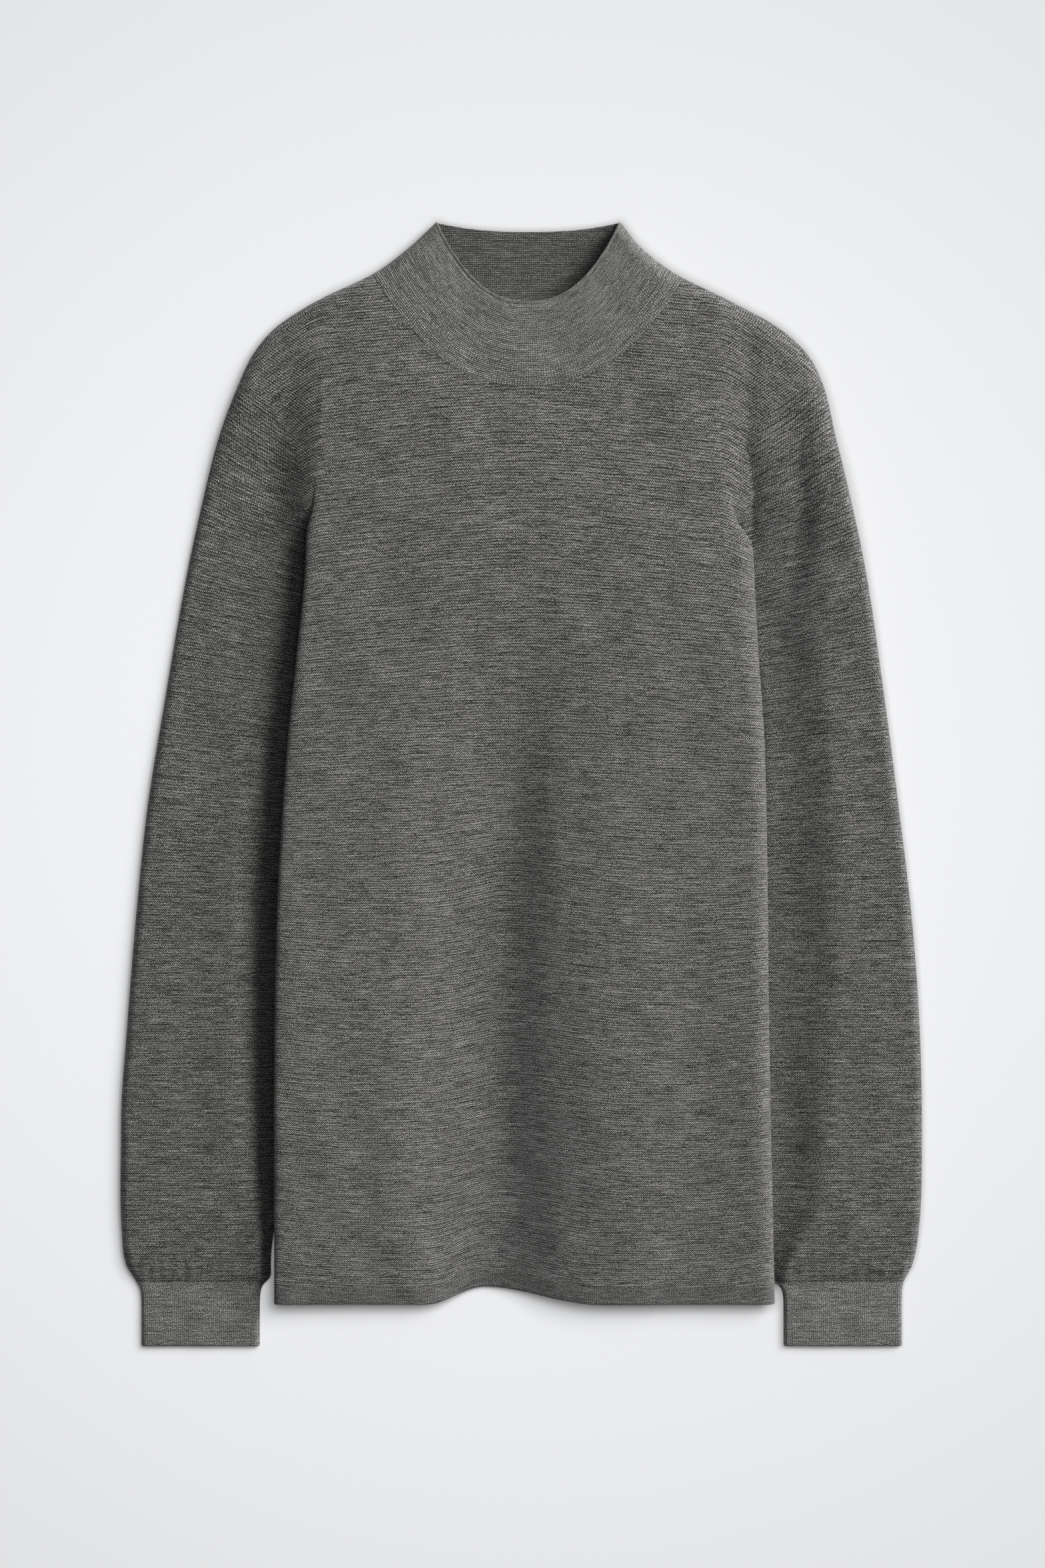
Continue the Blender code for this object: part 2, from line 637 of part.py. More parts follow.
def split_quads(points, quads):
    """Triangles of the quads, each split along its shorter diagonal."""
    corner = points[quads]
    first = np.linalg.norm(corner[:, 0] - corner[:, 2], axis=-1)
    second = np.linalg.norm(corner[:, 1] - corner[:, 3], axis=-1)
    along = np.where((first <= second)[:, None, None], ((0, 1, 2), (0, 2, 3)), ((0, 1, 3), (1, 2, 3)))
    return np.take_along_axis(quads[:, None, :], along, axis=2).reshape(-1, 3)


def wall(name, face, thickness, outward, seams="sides", finish="knit"):
    """Closed solid between a face and its copy moved inwards by the thickness."""
    ring = seams == "ring"
    normals = point_normals(face, ring) * outward
    if not ring:
        level_ends(normals)
    for k in (0, -1):
        if seams == "sides":
            normals[:, k] = along_edge(face[:, k], normals[:, k])
        if seams == "ends":
            normals[k] = along_edge(face[k], normals[k])
    inner = face - normals * np.asarray(thickness)[..., None]
    rows, columns = face.shape[:2]
    outer_points = face.reshape(-1, 3)
    index = np.arange(rows * columns).reshape(rows, columns)
    if ring:
        index = np.concatenate((index, index[:, :1]), axis=1)
    quads = np.stack((index[:-1, :-1], index[:-1, 1:], index[1:, 1:], index[1:, :-1]), axis=-1)
    skin = split_quads(outer_points, quads.reshape(-1, 4))
    edge = [np.stack((index[0, 1:], index[0, :-1]), axis=-1),
            np.stack((index[-1, :-1], index[-1, 1:]), axis=-1)]
    if not ring:
        edge += [np.stack((index[:-1, 0], index[1:, 0]), axis=-1),
                 np.stack((index[1:, -1], index[:-1, -1]), axis=-1)]
    edge = np.concatenate(edge)
    count = rows * columns
    rim = np.concatenate((edge, edge[:, ::-1] + count), axis=-1)
    points = np.concatenate((outer_points, inner.reshape(-1, 3)))
    faces = np.concatenate((skin, skin[:, ::-1] + count, split_quads(points, rim)))
    if outward < 0:
        faces = faces[:, ::-1]
    mesh = bpy.data.meshes.new(name)
    mesh.from_pydata(points.tolist(), [], faces.tolist())
    mesh.shade_smooth()
    mesh.set_sharp_from_angle(angle=math.radians(50))
    mesh.materials.append(cloth_material(name, finish))
    piece = bpy.data.objects.new(name, mesh)
    bpy.context.scene.collection.objects.link(piece)


def cloth_material(name, finish):
    """Matt woollen finish of one piece."""
    material = bpy.data.materials.new(name)
    material.use_nodes = True
    shader = material.node_tree.nodes["Principled BSDF"]
    shader.inputs["Base Color"].default_value = (*COLOURS[finish], 1)
    shader.inputs["Roughness"].default_value = 0.9
    shader.inputs["Metallic"].default_value = 0.0
    return material


def clear_scene():
    """Start from nothing."""
    for thing in list(bpy.data.objects):
        bpy.data.objects.remove(thing, do_unlink=True)


def make_front():
    """The front, whose sides are turned under."""
    rows = (HEM_TOP + GAP / 2, *SIDE_ROWS[1:], *SEAM_ROWS)
    wall("front", front_face(rows), CLOTH, 1)


def make_back():
    """The back, on the surface, its sides turned in over themselves."""
    rows = (HEM_TOP + GAP / 2, *SIDE_ROWS[1:], *SEAM_ROWS)
    face, thickness = back_faces(rows)
    wall("back", face, thickness, -1)


def make_sleeve(name, side):
    """A sleeve: two layers folded at its outer side."""
    wall(name, sleeve_face(side), CLOTH, -side, seams="ends")


def make_cuff(name, side):
    """A cuff: a flattened ring."""
    rows = (CUFF_TOP, CUFF_LOW)
    wall(name, cuff_face(side, rows), RIB, -side, seams="ring", finish="rib")


def make_collar():
    """The mock neck collar, from the neck seam to its rim."""
    first = GAP / (RIM_FRONT_Y - NECK_FRONT_Y)
    rows = np.linspace(first, 1, COLLAR_ROWS)
    wall("collar", collar_face(rows), RIB, 1, seams="ring", finish="rib")


def make_hem():
    """The hem band in two pieces."""
    rows = (HEM_LOW, HEM_TOP - GAP / 2)
    wall("hem_front", front_face(rows), RIB, 1, finish="rib")
    wall("hem_back", hem_back_face((HEM_LOW + 0.0015, rows[1])), RIB, -1, finish="rib")


def main():
    clear_scene()
    make_front()
    make_back()
    make_sleeve("sleeve_left", -1)
    make_sleeve("sleeve_right", 1)
    make_cuff("cuff_left", -1)
    make_cuff("cuff_right", 1)
    make_collar()
    make_hem()


main()
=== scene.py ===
import math

import bpy
import numpy as np
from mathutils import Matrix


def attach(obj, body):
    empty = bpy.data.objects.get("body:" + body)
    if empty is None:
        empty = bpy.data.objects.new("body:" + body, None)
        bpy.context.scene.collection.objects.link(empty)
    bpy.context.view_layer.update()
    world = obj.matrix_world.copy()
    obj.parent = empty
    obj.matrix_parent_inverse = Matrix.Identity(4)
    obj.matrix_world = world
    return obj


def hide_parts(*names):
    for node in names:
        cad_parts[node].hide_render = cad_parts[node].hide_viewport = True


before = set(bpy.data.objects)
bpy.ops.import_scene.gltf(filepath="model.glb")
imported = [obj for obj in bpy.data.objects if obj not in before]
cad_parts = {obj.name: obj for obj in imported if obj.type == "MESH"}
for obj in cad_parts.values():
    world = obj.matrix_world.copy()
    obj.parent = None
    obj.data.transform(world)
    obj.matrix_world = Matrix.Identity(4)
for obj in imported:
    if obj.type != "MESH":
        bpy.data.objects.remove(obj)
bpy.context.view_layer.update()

# The mock neck sweater's looks. Every piece is a thin closed shell of cloth, finely meshed on the
# same named sizes as its CAD solid, with a listed unevenness and a knit that follows its rows.
# The pieces meet at their seams, where the solids stand 0.3 mm apart.
# Metres, +Z up, +Y to the neck. Side is +1 for the +X half and -1 for the -X half.

# ---- sizes shared with the solids
CLOTH = 0.0016  # single knit wall
RIB = 0.0018  # wall of collar, cuffs and hem band
NAP = 0.0004  # air between two layers that lie on each other
EASE = 0.0012  # air between the back and the front's turned-in side

NECK_X = 0.0045  # middle of the neck
NECK_HALF = 0.105  # half width of the neck seam
NECK_FRONT_Y = 0.2680  # y of the lowest point of the front neck seam
NECK_BACK_Y = 0.3150  # and of the back neck seam
RIM_FRONT_Y = 0.3253  # y of the lowest point of the front rim of the collar
RIM_BACK_Y = 0.3732  # and of the back rim
RIM_TOP = 0.3795  # y of the two corners of the rim
RIM_HEIGHT = 0.0200  # height of the front rim above the surface
NECK_POWER = 2.4  # shape of the neck curves
COLLAR_ROLL = 0.0080  # reach of the collar's side folds
RIM_GROOVE = (0.0026, 0.0007, 0.0005)  # line of linking: distance below the rim, half width, depth
BACK_RISE = 0.0075  # how far the back of the rim stands clear of the surface
TOP_HEIGHT = 0.0210  # height of the cloth along neck and shoulders

TOP_Q = 0.2696  # y of the shoulder points, where neck, shoulder and armhole rows end
FOLD_Q = 0.155  # below this the body's side is rolled under
OPEN_Q = 0.192  # above this the body runs into the sleeve through a soft valley
CLEAR_Q = 0.178  # above this the back reaches out to the armhole seam
UNDERARM_Q = 0.117  # the underarm, hidden under the rolled side
TUCK = 0.080  # width of the side that is turned under
MARGIN = 0.0045  # strip of the front next to the armhole seam, above the fold
RAMP = 0.012  # run over which a layer climbs onto the one below it, or over which it begins
COVER = 0.005  # the layers under the body begin this far before the sleeve does
SLEEVE_CLEAR = 0.006  # from the start of the body's roll to the edges of sleeve and back beside it
BACK_CLIMB = 0.022  # run before the back's turned-in side, over which the back climbs
BEND_FROM = -0.05  # above this the sleeve's inner side bends to the underarm
LIFT_FROM = 0.140  # above this the rows bend up to the neck seam and the shoulder
HEM_TOP = -0.3385  # seam of the hem band
HEM_LOW = -0.3505  # its free edge
HEM_SHORT = 0.0015  # its back half is this much narrower
HEM_BEND = 0.0016  # radius of its back half's turned-in sides
SHOULDER_ROLL = 0.0115  # reach of the roll-off along the shoulder
SLEEVE_ROLL = 0.0060  # and along the outer side of the sleeve
CREASE_RADIUS = 0.0030  # radius of the fold down the left side of the body

STACK = 2 * CLOTH + NAP  # two layers of cloth, one on the other

CUFF_TOP = -0.3365  # seam of the cuff, where the sleeve ends
CUFF_LOW = -0.3798  # its free edge
CUFF_WIDTH = 0.0800
CUFF_HEIGHT = 0.0060
CUFF_FLARE = 0.0035  # distance over which it widens into the sleeve's end
CUFF_SWELL = (0.0009, 0.0008)  # height that its upper layer gains at its ends, and more in the middle

# Outline of the whole garment from above.
OUTLINE = (
    # y, left x, right x
    (.42, -.012, .021),
    (.3795, -.0574, .0664),
    (.363, -.0749, .0798),
    (.3445, -.1, .104),
    (.327, -.1365, .139),
    (.309, -.1649, .1721),
    (.291, -.1807, .1924),
    (.2696, -.1911, .2036),
    (.237, -.2034, .2116),
    (.2009, -.2131, .2203),
    (.1469, -.2252, .232),
    (.0569, -.241, .2455),
    (-.0151, -.2527, .2549),
    (-.0871, -.2603, .2635),
    (-.1591, -.2662, .2689),
    (-.2311, -.2707, .2707),
    (-.3031, -.2702, .2684),
    (-.325, -.2672, .2642),
    (-.3365, -.2605, .2585),
    (-.342, -.2582, .2577),
    (-.4, -.258, .2576),
)

# Visible side edge of the body, from the hem up to where it fades into the valley.
BODY_EDGE = (
    # y, left x, right x
    (.29, -.16, .17),
    (.2144, -.15, .154),
    (.1627, -.145, .156),
    (.0853, -.1514, .16),
    (.0344, -.1568, .1636),
    (-.0691, -.1636, .166),
    (-.1456, -.1658, .1667),
    (-.352, -.1667, .171),
)

# Armhole seam where it shows.
ARMHOLE = (
    # y, left x, right x
    (.2696, -.1911, .2036),
    (.267, -.1865, .1935),
    (.261, -.1785, .1815),
    (.252, -.169, .1725),
    (.2414, -.1605, .164),
    (.225, -.153, .156),
    (.2144, -.15, .1535),
    (.168, -.1465, .1535),
)

# Sections of the body, with the reach of its rolled sides.
BODY = (
    # y, left roll, right roll, middle height, side height
    (.29, .03, .04, .021, .021),
    (.2696, .029, .038, .021, .021),
    (.245, .022, .029, .023, .0215),
    (.2144, .014, .023, .025, .0225),
    (.1627, .01, .019, .0262, .025),
    (.0853, .011, .012, .0262, .0262),
    (-.0344, .011, .011, .0245, .0262),
    (-.1456, .011, .011, .0225, .0252),
    (-.26, .011, .011, .0202, .0228),
    (-.352, .01, .01, .0165, .019),
)
# The soft valley between body and sleeve: distance of its bottom from x = 0, and its height.
VALLEY = (
    # y, left bottom, right bottom, left height, right height
    (.2696, .162, .153, .0188, .0186),
    (.259, .163, .152, .0166, .0178),
    (.2414, .165, .151, .0143, .0169),
    (.223, .169, .1525, .012, .0166),
    (.205, .17, .156, .0106, .016),
    (.187, .17, .156, .01, .0146),
    (.169, .17, .156, .0098, .0126),
    (.147, .17, .157, .0096, .0108),
    (.124, .168, .157, .009, .0078),
)
# The right sleeve beside the valley comes up in two steps, the second along a line of its own.
RIGHT_STEPS = (
    # y, first step, middle of the second step, its width, second step
    (.2696, .0018, .193, .02, .001),
    (.259, .003, .193, .018, .0014),
    (.2414, .0032, .193, .017, .0028),
    (.223, .0036, .193, .017, .0046),
    (.205, .0038, .193, .017, .0048),
    (.187, .0036, .194, .017, .0054),
    (.169, .0026, .194, .018, .0054),
    (.147, .0014, .193, .021, .0062),
    (.124, .0014, .191, .036, .0086),
)
STEP_RUN = 0.018  # run of the first step
STEP_RIDGE = (0.179, 0.0055, 0.0007)  # low ridge between the steps: x, half width, height
LEFT_RISE = 0.028  # run over which the left sleeve comes up from the valley

# Fold down the middle of the front, with the widths of its flanks.
MIDDLE_FOLD = (
    # y, x, depth, left flank, right flank
    (.13, .006, 0, .08, .06),
    (.0344, -.006, .0078, .08, .062),
    (-.05, -.012, .0112, .08, .064),
    (-.1456, -.017, .0134, .082, .066),
    (-.2806, -.0175, .013, .08, .078),
    (-.352, -.025, .0108, .05, .078),
)
STEEP = 0.62  # steep part of its right flank, as a share of the width and of the depth
FOLD_RIDGE = (0.064, 0.036, 0.0036)  # soft ridge on its right: x, half width, height
HEM_LIFT = 0.0110  # the fold draws the hem up by this much
HEM_LIFT_REACH = 0.110  # and the rows above it over this distance
HEM_FLANKS = (0.038, 0.078)  # and over this width to the left and right of the fold

# Sections of the sleeve: width laid flat, heights, and the runs over which its inner side rises.
SLEEVE = (
    # y, width, seam height, left crest, right crest, left rise, right rise
    (.2696, .16, .0208, .0192, .021, .03, .03),
    (.256, .16, .0185, .0175, .0212, .03, .03),
    (.2414, .16, .015, .0154, .0228, .03, .028),
    (.2144, .16, .011, .0128, .0246, .034, .027),
    (.19, .16, .0075, .0116, .0238, .036, .036),
    (.155, .16, .0036, .0108, .0188, .032, .047),
    (.117, .16, .0036, .0108, .0166, .036, .05),
    (.05, .15, .0036, .0116, .015, .039, .052),
    (0, .144, .0036, .0122, .0143, .04, .054),
    (-.1, .132, .0036, .0127, .0135, .038, .056),
    (-.2, .12, .0036, .0128, .013, .035, .05),
    (-.28, .108, .0036, .0125, .0125, .027, .038),
    (-.305, .102, .0036, .0118, .0118, .02, .026),
    (-.327, .0965, .0036, .01, .01, .013, .014),
    (-.333, .0925, .0036, .0086, .0086, .01, .01),
    (-.3365, .0875, .0036, .0075, .0075, .009, .009),
)
# How far the sleeves come up at once beside the body, over the run of the lip.
LIPS = (
    # y, left, right
    (.2, .002, .0028),
    (.155, .0058, .0028),
    (.117, .0054, .0028),
    (.05, .0034, .0028),
    (0, .0014, .002),
    (-.1, 0, 0),
)
LIP_RUN = 0.008
FAN = 0.30  # share of the sleeve's length over which its rows turn level

# ---- curves and heights
def column(table, at, index):
    """Smooth curve through one column of a table whose first column is y."""
    table = np.array(sorted(table), float)
    y, v = table[:, 0], table[:, index]
    step = np.diff(v) / np.diff(y)
    slope = join([step[0]], (step[:-1] + step[1:]) / 2, [step[-1]])
    flat = step[:-1] * step[1:] <= 0
    slope[1:-1][flat] = 0
    at = np.clip(at, y[0], y[-1])
    i = np.clip(np.searchsorted(y, at) - 1, 0, len(y) - 2)
    width = y[i + 1] - y[i]
    t = (at - y[i]) / width
    return ((2 * t**3 - 3 * t**2 + 1) * v[i] + (t**3 - 2 * t**2 + t) * width * slope[i]
            + (3 * t**2 - 2 * t**3) * v[i + 1] + (t**3 - t**2) * width * slope[i + 1])


def side_column(table, at, side, left):
    """Curve through one side's column, where the right side's column follows the left one's."""
    return column(table, at, left + (side > 0))


def sided(table, at, side):
    """Distance of a left or right edge from x = 0."""
    return side * side_column(table, at, side, 1)


def smooth(t):
    """Soft step from 0 to 1."""
    t = np.clip(t, 0.0, 1.0)
    return t * t * (3 - 2 * t)


def mix(a, b, share):
    return a + (b - a) * share


def join(*parts, axis=0):
    return np.concatenate(parts, axis)


def stack(*columns):
    return np.stack(columns, axis=-1)


def ridge(at, middle, half, height):
    """Height of a soft ridge across its line."""
    return height * np.exp(-((at - middle) / half) ** 2)


def steps(points):
    """Distance from each point to the next."""
    return np.linalg.norm(np.diff(points, axis=0), axis=-1)


def running(parts):
    """Running total that starts at 0."""
    return join([0], np.cumsum(parts))


def closed(grid):
    """The grid of a tube with its first column repeated after its last."""
    return join(grid, grid[:, :1], axis=1)


def outline_line(side):
    y = np.arange(OUTLINE[0][0], OUTLINE[-1][0], -0.002)
    return stack(side * sided(OUTLINE, y, side), y)


LINES = {side: outline_line(side) for side in (1, -1)}


def outline_distance(x, y, side):
    """Shortest distance from points to the garment's outline, seen from above."""
    line = LINES[side]
    start, run = line[:-1], np.diff(line, axis=0)
    point = stack(x, y)[..., None, :]
    t = np.clip(((point - start) * run).sum(-1) / (run**2).sum(-1), 0, 1)
    near = start + t[..., None] * run
    return np.sqrt(((point - near) ** 2).sum(-1)).min(-1)


def rounded(distance, reach):
    """Quarter ellipse: 0 on the outline, 1 at the reach and beyond."""
    t = 1 - np.clip(distance / reach, 0, 1)
    return np.sqrt(np.maximum(0, 1 - t * t))


def roll_reach(y):
    """Reach of the roll-off along the outline."""
    return mix(SLEEVE_ROLL, SHOULDER_ROLL, smooth((y - 0.20) / 0.06))


def roll_off(x, y, side):
    """0 on the outline, 1 inside the reach of its roll-off."""
    return rounded(outline_distance(x, y, side), roll_reach(y))


def middle_fold(x, y):
    """Depth of the soft fold down the middle of the front, less the ridge beside it."""
    off = x - column(MIDDLE_FOLD, y, 1)
    flank = np.where(off < 0, column(MIDDLE_FOLD, y, 3), column(MIDDLE_FOLD, y, 4))
    gentle = smooth(1 - np.abs(off) / flank)
    steep = smooth(1 - np.abs(off) / (STEEP * flank))
    depth = column(MIDDLE_FOLD, y, 2) * mix(gentle, steep, np.where(off < 0, 0.0, STEEP))
    return depth - ridge(x, *FOLD_RIDGE) * smooth((0.10 - y) / 0.25)


def hem_lift(x, y):
    """How far a point near the hem is drawn up by the middle fold."""
    off = x - MIDDLE_FOLD[-1][1]
    flank = np.where(off < 0, *HEM_FLANKS)
    return HEM_LIFT * smooth(1 - np.abs(off) / flank) * smooth(1 - (y - HEM_LOW) / HEM_LIFT_REACH)


def roll_start(q, side):
    """Distance from x = 0 at which the body's side begins to roll off."""
    return sided(BODY_EDGE, q, side) - side_column(BODY, q, side, 1)


def tuck_end(q, side):
    """Inner end of the turned-under side: side seam below the underarm, armhole above it."""
    low = sided(BODY_EDGE, q, side) - TUCK
    share = np.clip((q - UNDERARM_Q) / (FOLD_Q - UNDERARM_Q), 0, 1)
    return mix(low, roll_start(q, side) - MARGIN, share**1.3)


def sleeve_inner(y, side):
    """Underarm side of the sleeve, as laid out."""
    below = sided(OUTLINE, y, side) - column(SLEEVE, y, 1)
    at_underarm = sided(OUTLINE, UNDERARM_Q, side) - column(SLEEVE, UNDERARM_Q, 1)
    shift = tuck_end(UNDERARM_Q, side) - at_underarm
    return below + shift * smooth((y - BEND_FROM) / (UNDERARM_Q - BEND_FROM))


def covered_from(y, side):
    """Distance from x = 0 at which the sleeve layers under the body begin, with a little ease."""
    return np.where(y < UNDERARM_Q, sleeve_inner(y, side), tuck_end(y, side)) - COVER


def under_body(d, y, side):
    """Height of the sleeve layers that lie under the body at distance d from x = 0."""
    return STACK * smooth((d - covered_from(y, side)) / RAMP + 1)


def folded(q):
    """0 where the body runs into the sleeve, 1 where its side is rolled under."""
    return smooth((OPEN_Q - q) / (OPEN_Q - FOLD_Q))


def seam_distance(q, side):
    """Distance from x = 0 of the armhole seam at height q."""
    return mix(sided(ARMHOLE, q, side), tuck_end(q, side), folded(q))


def seam_height(q):
    """Height of the armhole seam, and of the sleeve's seam where the body covers it."""
    return np.maximum(column(SLEEVE, q, 2), STACK)


def neck_curve(s, corner, middle):
    """Curve across the neck: y at share s of the half width, from the middle to the corner."""
    return middle + (corner - middle) * np.abs(s) ** NECK_POWER


def shoulder_y(x, side):
    """y of the outline at a given distance from x = 0."""
    line = LINES[side]
    return np.interp(side * x, side * line[:, 0], line[:, 1])


def junction_y(side):
    """y where the neck seam meets the outline."""
    return shoulder_y(NECK_X + side * NECK_HALF, side)


def right_steps(x, y):
    """Height of the right sleeve beside the body, in two steps up from the valley's bottom."""
    first, centre, width, second = (column(RIGHT_STEPS, y, k) for k in range(1, 5))
    near = 1 - (1 - np.clip((x - column(VALLEY, y, 2)) / STEP_RUN, 0, 1)) ** 1.9
    far = smooth((x - centre) / width + 0.5)
    between = ridge(x, *STEP_RIDGE) * smooth((0.235 - y) / 0.03) * smooth((y - 0.135) / 0.02)
    return column(VALLEY, y, 4) + first * near + second * far + between


def open_height(x, y, side, level):
    """Height of the upper layers across the soft valley between body and sleeve."""
    away = side * x
    start = roll_start(y, side)
    bottom = side_column(VALLEY, y, side, 1)
    down = np.clip((away - start) / (bottom - start), 0, 1)
    if side > 0:
        down = mix(smooth(down), down**1.4, 0.7)
        return np.where(away > bottom, right_steps(x, y), mix(level, column(VALLEY, y, 4), down))
    low = mix(level, column(VALLEY, y, 3), smooth(down))
    return mix(low, column(SLEEVE, y, 3), smooth((away - bottom) / LEFT_RISE))


# ---- unevenness
# Soft troughs of the upper layers, each along one line.
CREASES = (
    # from x, from y, to x, to y, half width, depth
    (.233, .09, .242, -.08, .013, .0006),
    (-.212, .05, -.223, -.15, .013, .0008),
    (-.226, -.17, -.218, -.3, .012, .001),
    (-.095, -.09, -.108, -.33, .018, .0012),
    (.108, -.12, .119, -.33, .016, .001),
    (.056, .15, .035, .01, .022, .001),
    (-.065, .23, -.1, .13, .02, .001),
    (.085, .25, .115, .17, .02, .0008),
)
TROUGH_END = 0.03  # a trough fades from this far inside its end to this far past it
# Knots of yarn: on the rim of the collar, and where it meets the right shoulder.
KNOTS = (
    # from x, from y, to x, to y, half width, height
    (-.008, .329, -.003, .3266, .0011, .0012),
    (.1112, .3392, .115, .336, .0012, .001),
)
# Gentle waves over everything, directions in degrees.
WAVES = (
    # length, direction, phase, height
    (.047, 12, .4, .0002),
    (.039, 71, 1.9, .00018),
    (.031, 128, 4.1, .00014),
    (.024, 38, 2.7, .0001),
    (.019, 163, 5.2, .00008),
    (.015, 97, .9, .00006),
)


def uneven(x, y):
    """Height by which the upper layers depart from the plain form."""
    z = np.zeros_like(x)
    for x0, y0, x1, y1, half, depth in CREASES:
        run = np.array((x1 - x0, y1 - y0))
        length = np.hypot(*run)
        along = ((x - x0) * run[0] + (y - y0) * run[1]) / length
        across = ((x - x0) * run[1] - (y - y0) * run[0]) / length
        ends = smooth((along / TROUGH_END + 1) / 2) * smooth(((length - along) / TROUGH_END + 1) / 2)
        z = z - depth * ends * np.exp(-(across / half) ** 2)
    for x0, y0, x1, y1, half, height in KNOTS:
        run = np.array((x1 - x0, y1 - y0))
        share = np.clip(((x - x0) * run[0] + (y - y0) * run[1]) / (run**2).sum(), 0, 1)
        near = ((x - x0 - share * run[0]) ** 2 + (y - y0 - share * run[1]) ** 2) / half**2
        z = z + height * np.exp(-near)
    for length, direction, phase, height in WAVES:
        turn = math.radians(direction)
        z = z + height * np.sin(2 * math.pi * (x * math.cos(turn) + y * math.sin(turn)) / length + phase)
    return z


# ---- lie of the rows of stitches
COURSE = 0.0018  # one row in knit coordinates
SLEEVE_X = 0.200  # the sleeve's rows turn about this distance from x = 0
# Real height of one row down the body and down the sleeve.
PITCH = (
    # y, body, sleeve
    (.42, .00194, .00224),
    (.3, .00194, .00224),
    (.2279, .00194, .0022),
    (.18, .00193, .002),
    (.12, .00191, .00189),
    (0, .00177, .00181),
    (-.07, .0017, .00172),
    (-.15, .00164, .00164),
    (-.23, .00157, .00162),
    (-.315, .00148, .00166),
    (-.38, .00146, .00168),
)
# Arch of the body's rows, and degrees by which the sleeve's rows tilt.
LIE = (
    # y, arch, tilt
    (.42, .1, 44),
    (.3, .1, 42),
    (.2594, .11, 38),
    (.2279, .122, 33),
    (.1964, .122, 26),
    (.1649, .118, 18.5),
    (.1019, .1, 11),
    (.0389, .06, 6.5),
    (-.0241, .028, 3.5),
    (-.087, 0, 1),
    (-.12, 0, 0),
    (-.38, 0, 0),
)
LEVELS = np.linspace(-0.40, 0.42, 821)
TILT = np.radians(column(LIE, LEVELS, 2))
STEP = LEVELS[1] - LEVELS[0]
ARCH_X, ARCH_SOFT = 0.001, 0.05  # middle of the body rows' arch, and how softly it turns there
SAG_FROM, RISE_FROM = 0.134, 0.09  # distances from x = 0 outside which the rows sag above, rise below
PULL_X = -0.009  # where the middle fold pulls the rows up most
BODY_COUNT = np.cumsum(COURSE / column(PITCH, LEVELS, 1)) * STEP
SLEEVE_COUNT = np.cumsum(COURSE / column(PITCH, LEVELS, 2) * np.cos(TILT)) * STEP
SLEEVE_SHIFT = np.cumsum(np.sin(TILT)) * STEP


def body_row(x, y):
    """Knit coordinate along the wales of the body. Its rows arch, and sag near the armholes."""
    arch = column(LIE, y, 1) * (np.hypot(x - ARCH_X, ARCH_SOFT) - ARCH_SOFT)
    beside = np.maximum(np.abs(x) - SAG_FROM, 0)
    sag = 0.72 * beside**2 / (beside + 0.014) * smooth((y - 0.09) / 0.11)
    rise = 0.7 * np.maximum(np.abs(x) - RISE_FROM, 0) ** 2 * smooth((-0.03 - y) / 0.08)
    across = (x - PULL_X) / np.where(x < PULL_X, 0.032, 0.055)
    lift = 0.0085 * np.exp(-across**2) * smooth((0.03 - y) / 0.09) * smooth((y - HEM_TOP) / 0.08)
    return np.interp(y + arch + sag - rise - lift, LEVELS, BODY_COUNT)


def sleeve_knit(x, y, side, out):
    """Knit coordinates on the sleeve. Its rows tilt more and more towards the shoulder."""
    turn = np.interp(y, LEVELS, TILT)
    off = side * x - SLEEVE_X
    u = off * np.cos(turn) + np.interp(y, LEVELS, SLEEVE_SHIFT) + out
    v = np.interp(y, LEVELS, SLEEVE_COUNT) - off * np.sin(turn) * COURSE / column(PITCH, y, 2)
    return side * u, v


# ---- fine grids: x, y, z, u, v
def eased(count):
    """Shares from 0 to 1 that close up towards 1, as round an edge."""
    return np.sin(np.linspace(0, math.pi / 2, count + 1))


NECK_STEPS = 1 - (1 - np.linspace(0, 1, 33)) ** 1.3
COLLAR_STEPS = join(np.linspace(0, .88, 28), .88 + .12 * eased(14)[1:])
ROLL = np.linspace(0, 1, 17)[1:]
FLAP = np.linspace(0, 1, 13)[1:]
FADE_COLUMNS = 12  # columns round the fold over which the unevenness dies out
BODY_ROWS = join(np.linspace(HEM_TOP, 0.2, 138), np.linspace(0.2, 0.25, 15)[1:],
                 0.25 + (TOP_Q - 0.25) * eased(12)[1:])


def neck_pull(q):
    """Share by which the row at q follows the neck seam and the shoulder."""
    return smooth((q - LIFT_FROM) / (TOP_Q - LIFT_FROM)) ** 1.2


def plateau_shares(side):
    """Shares of the way from the neck's middle to the rolled side."""
    corner = NECK_HALF / (roll_start(TOP_Q, side) - side * NECK_X)
    return join(NECK_STEPS * corner, mix(corner, 1, np.linspace(0, 1, 14)[1:]))


def top_row(side, x, neck_middle):
    """y of a panel's top edge: the neck seam, then the shoulder."""
    s = (x - NECK_X) * side / NECK_HALF
    return np.where(s < 1.001, neck_curve(s, junction_y(side), neck_middle), shoulder_y(x, side))


def bezier(points, t):
    a, b, c, d = (np.asarray(point, float) for point in points)
    t = t[:, None]
    return (1 - t)**3 * a + 3 * (1 - t)**2 * t * b + 3 * (1 - t) * t**2 * c + t**3 * d


def creased_edge(start, edge, high, end):
    """The left side's fold: level almost to its edge, a tight turn, then back under."""
    radius = CREASE_RADIUS
    knee = (edge, high - 1.3 * radius)
    over = bezier(((start, high), (edge - radius, high), (edge, high - 0.1 * radius), knee),
                  ROLL[:10] / ROLL[9])
    drop = high - end[1]
    under = bezier((knee, (edge, high - 0.5 * drop), (edge - 0.002, end[1]), end), np.linspace(0, 1, 7)[1:])
    return join(over, under)


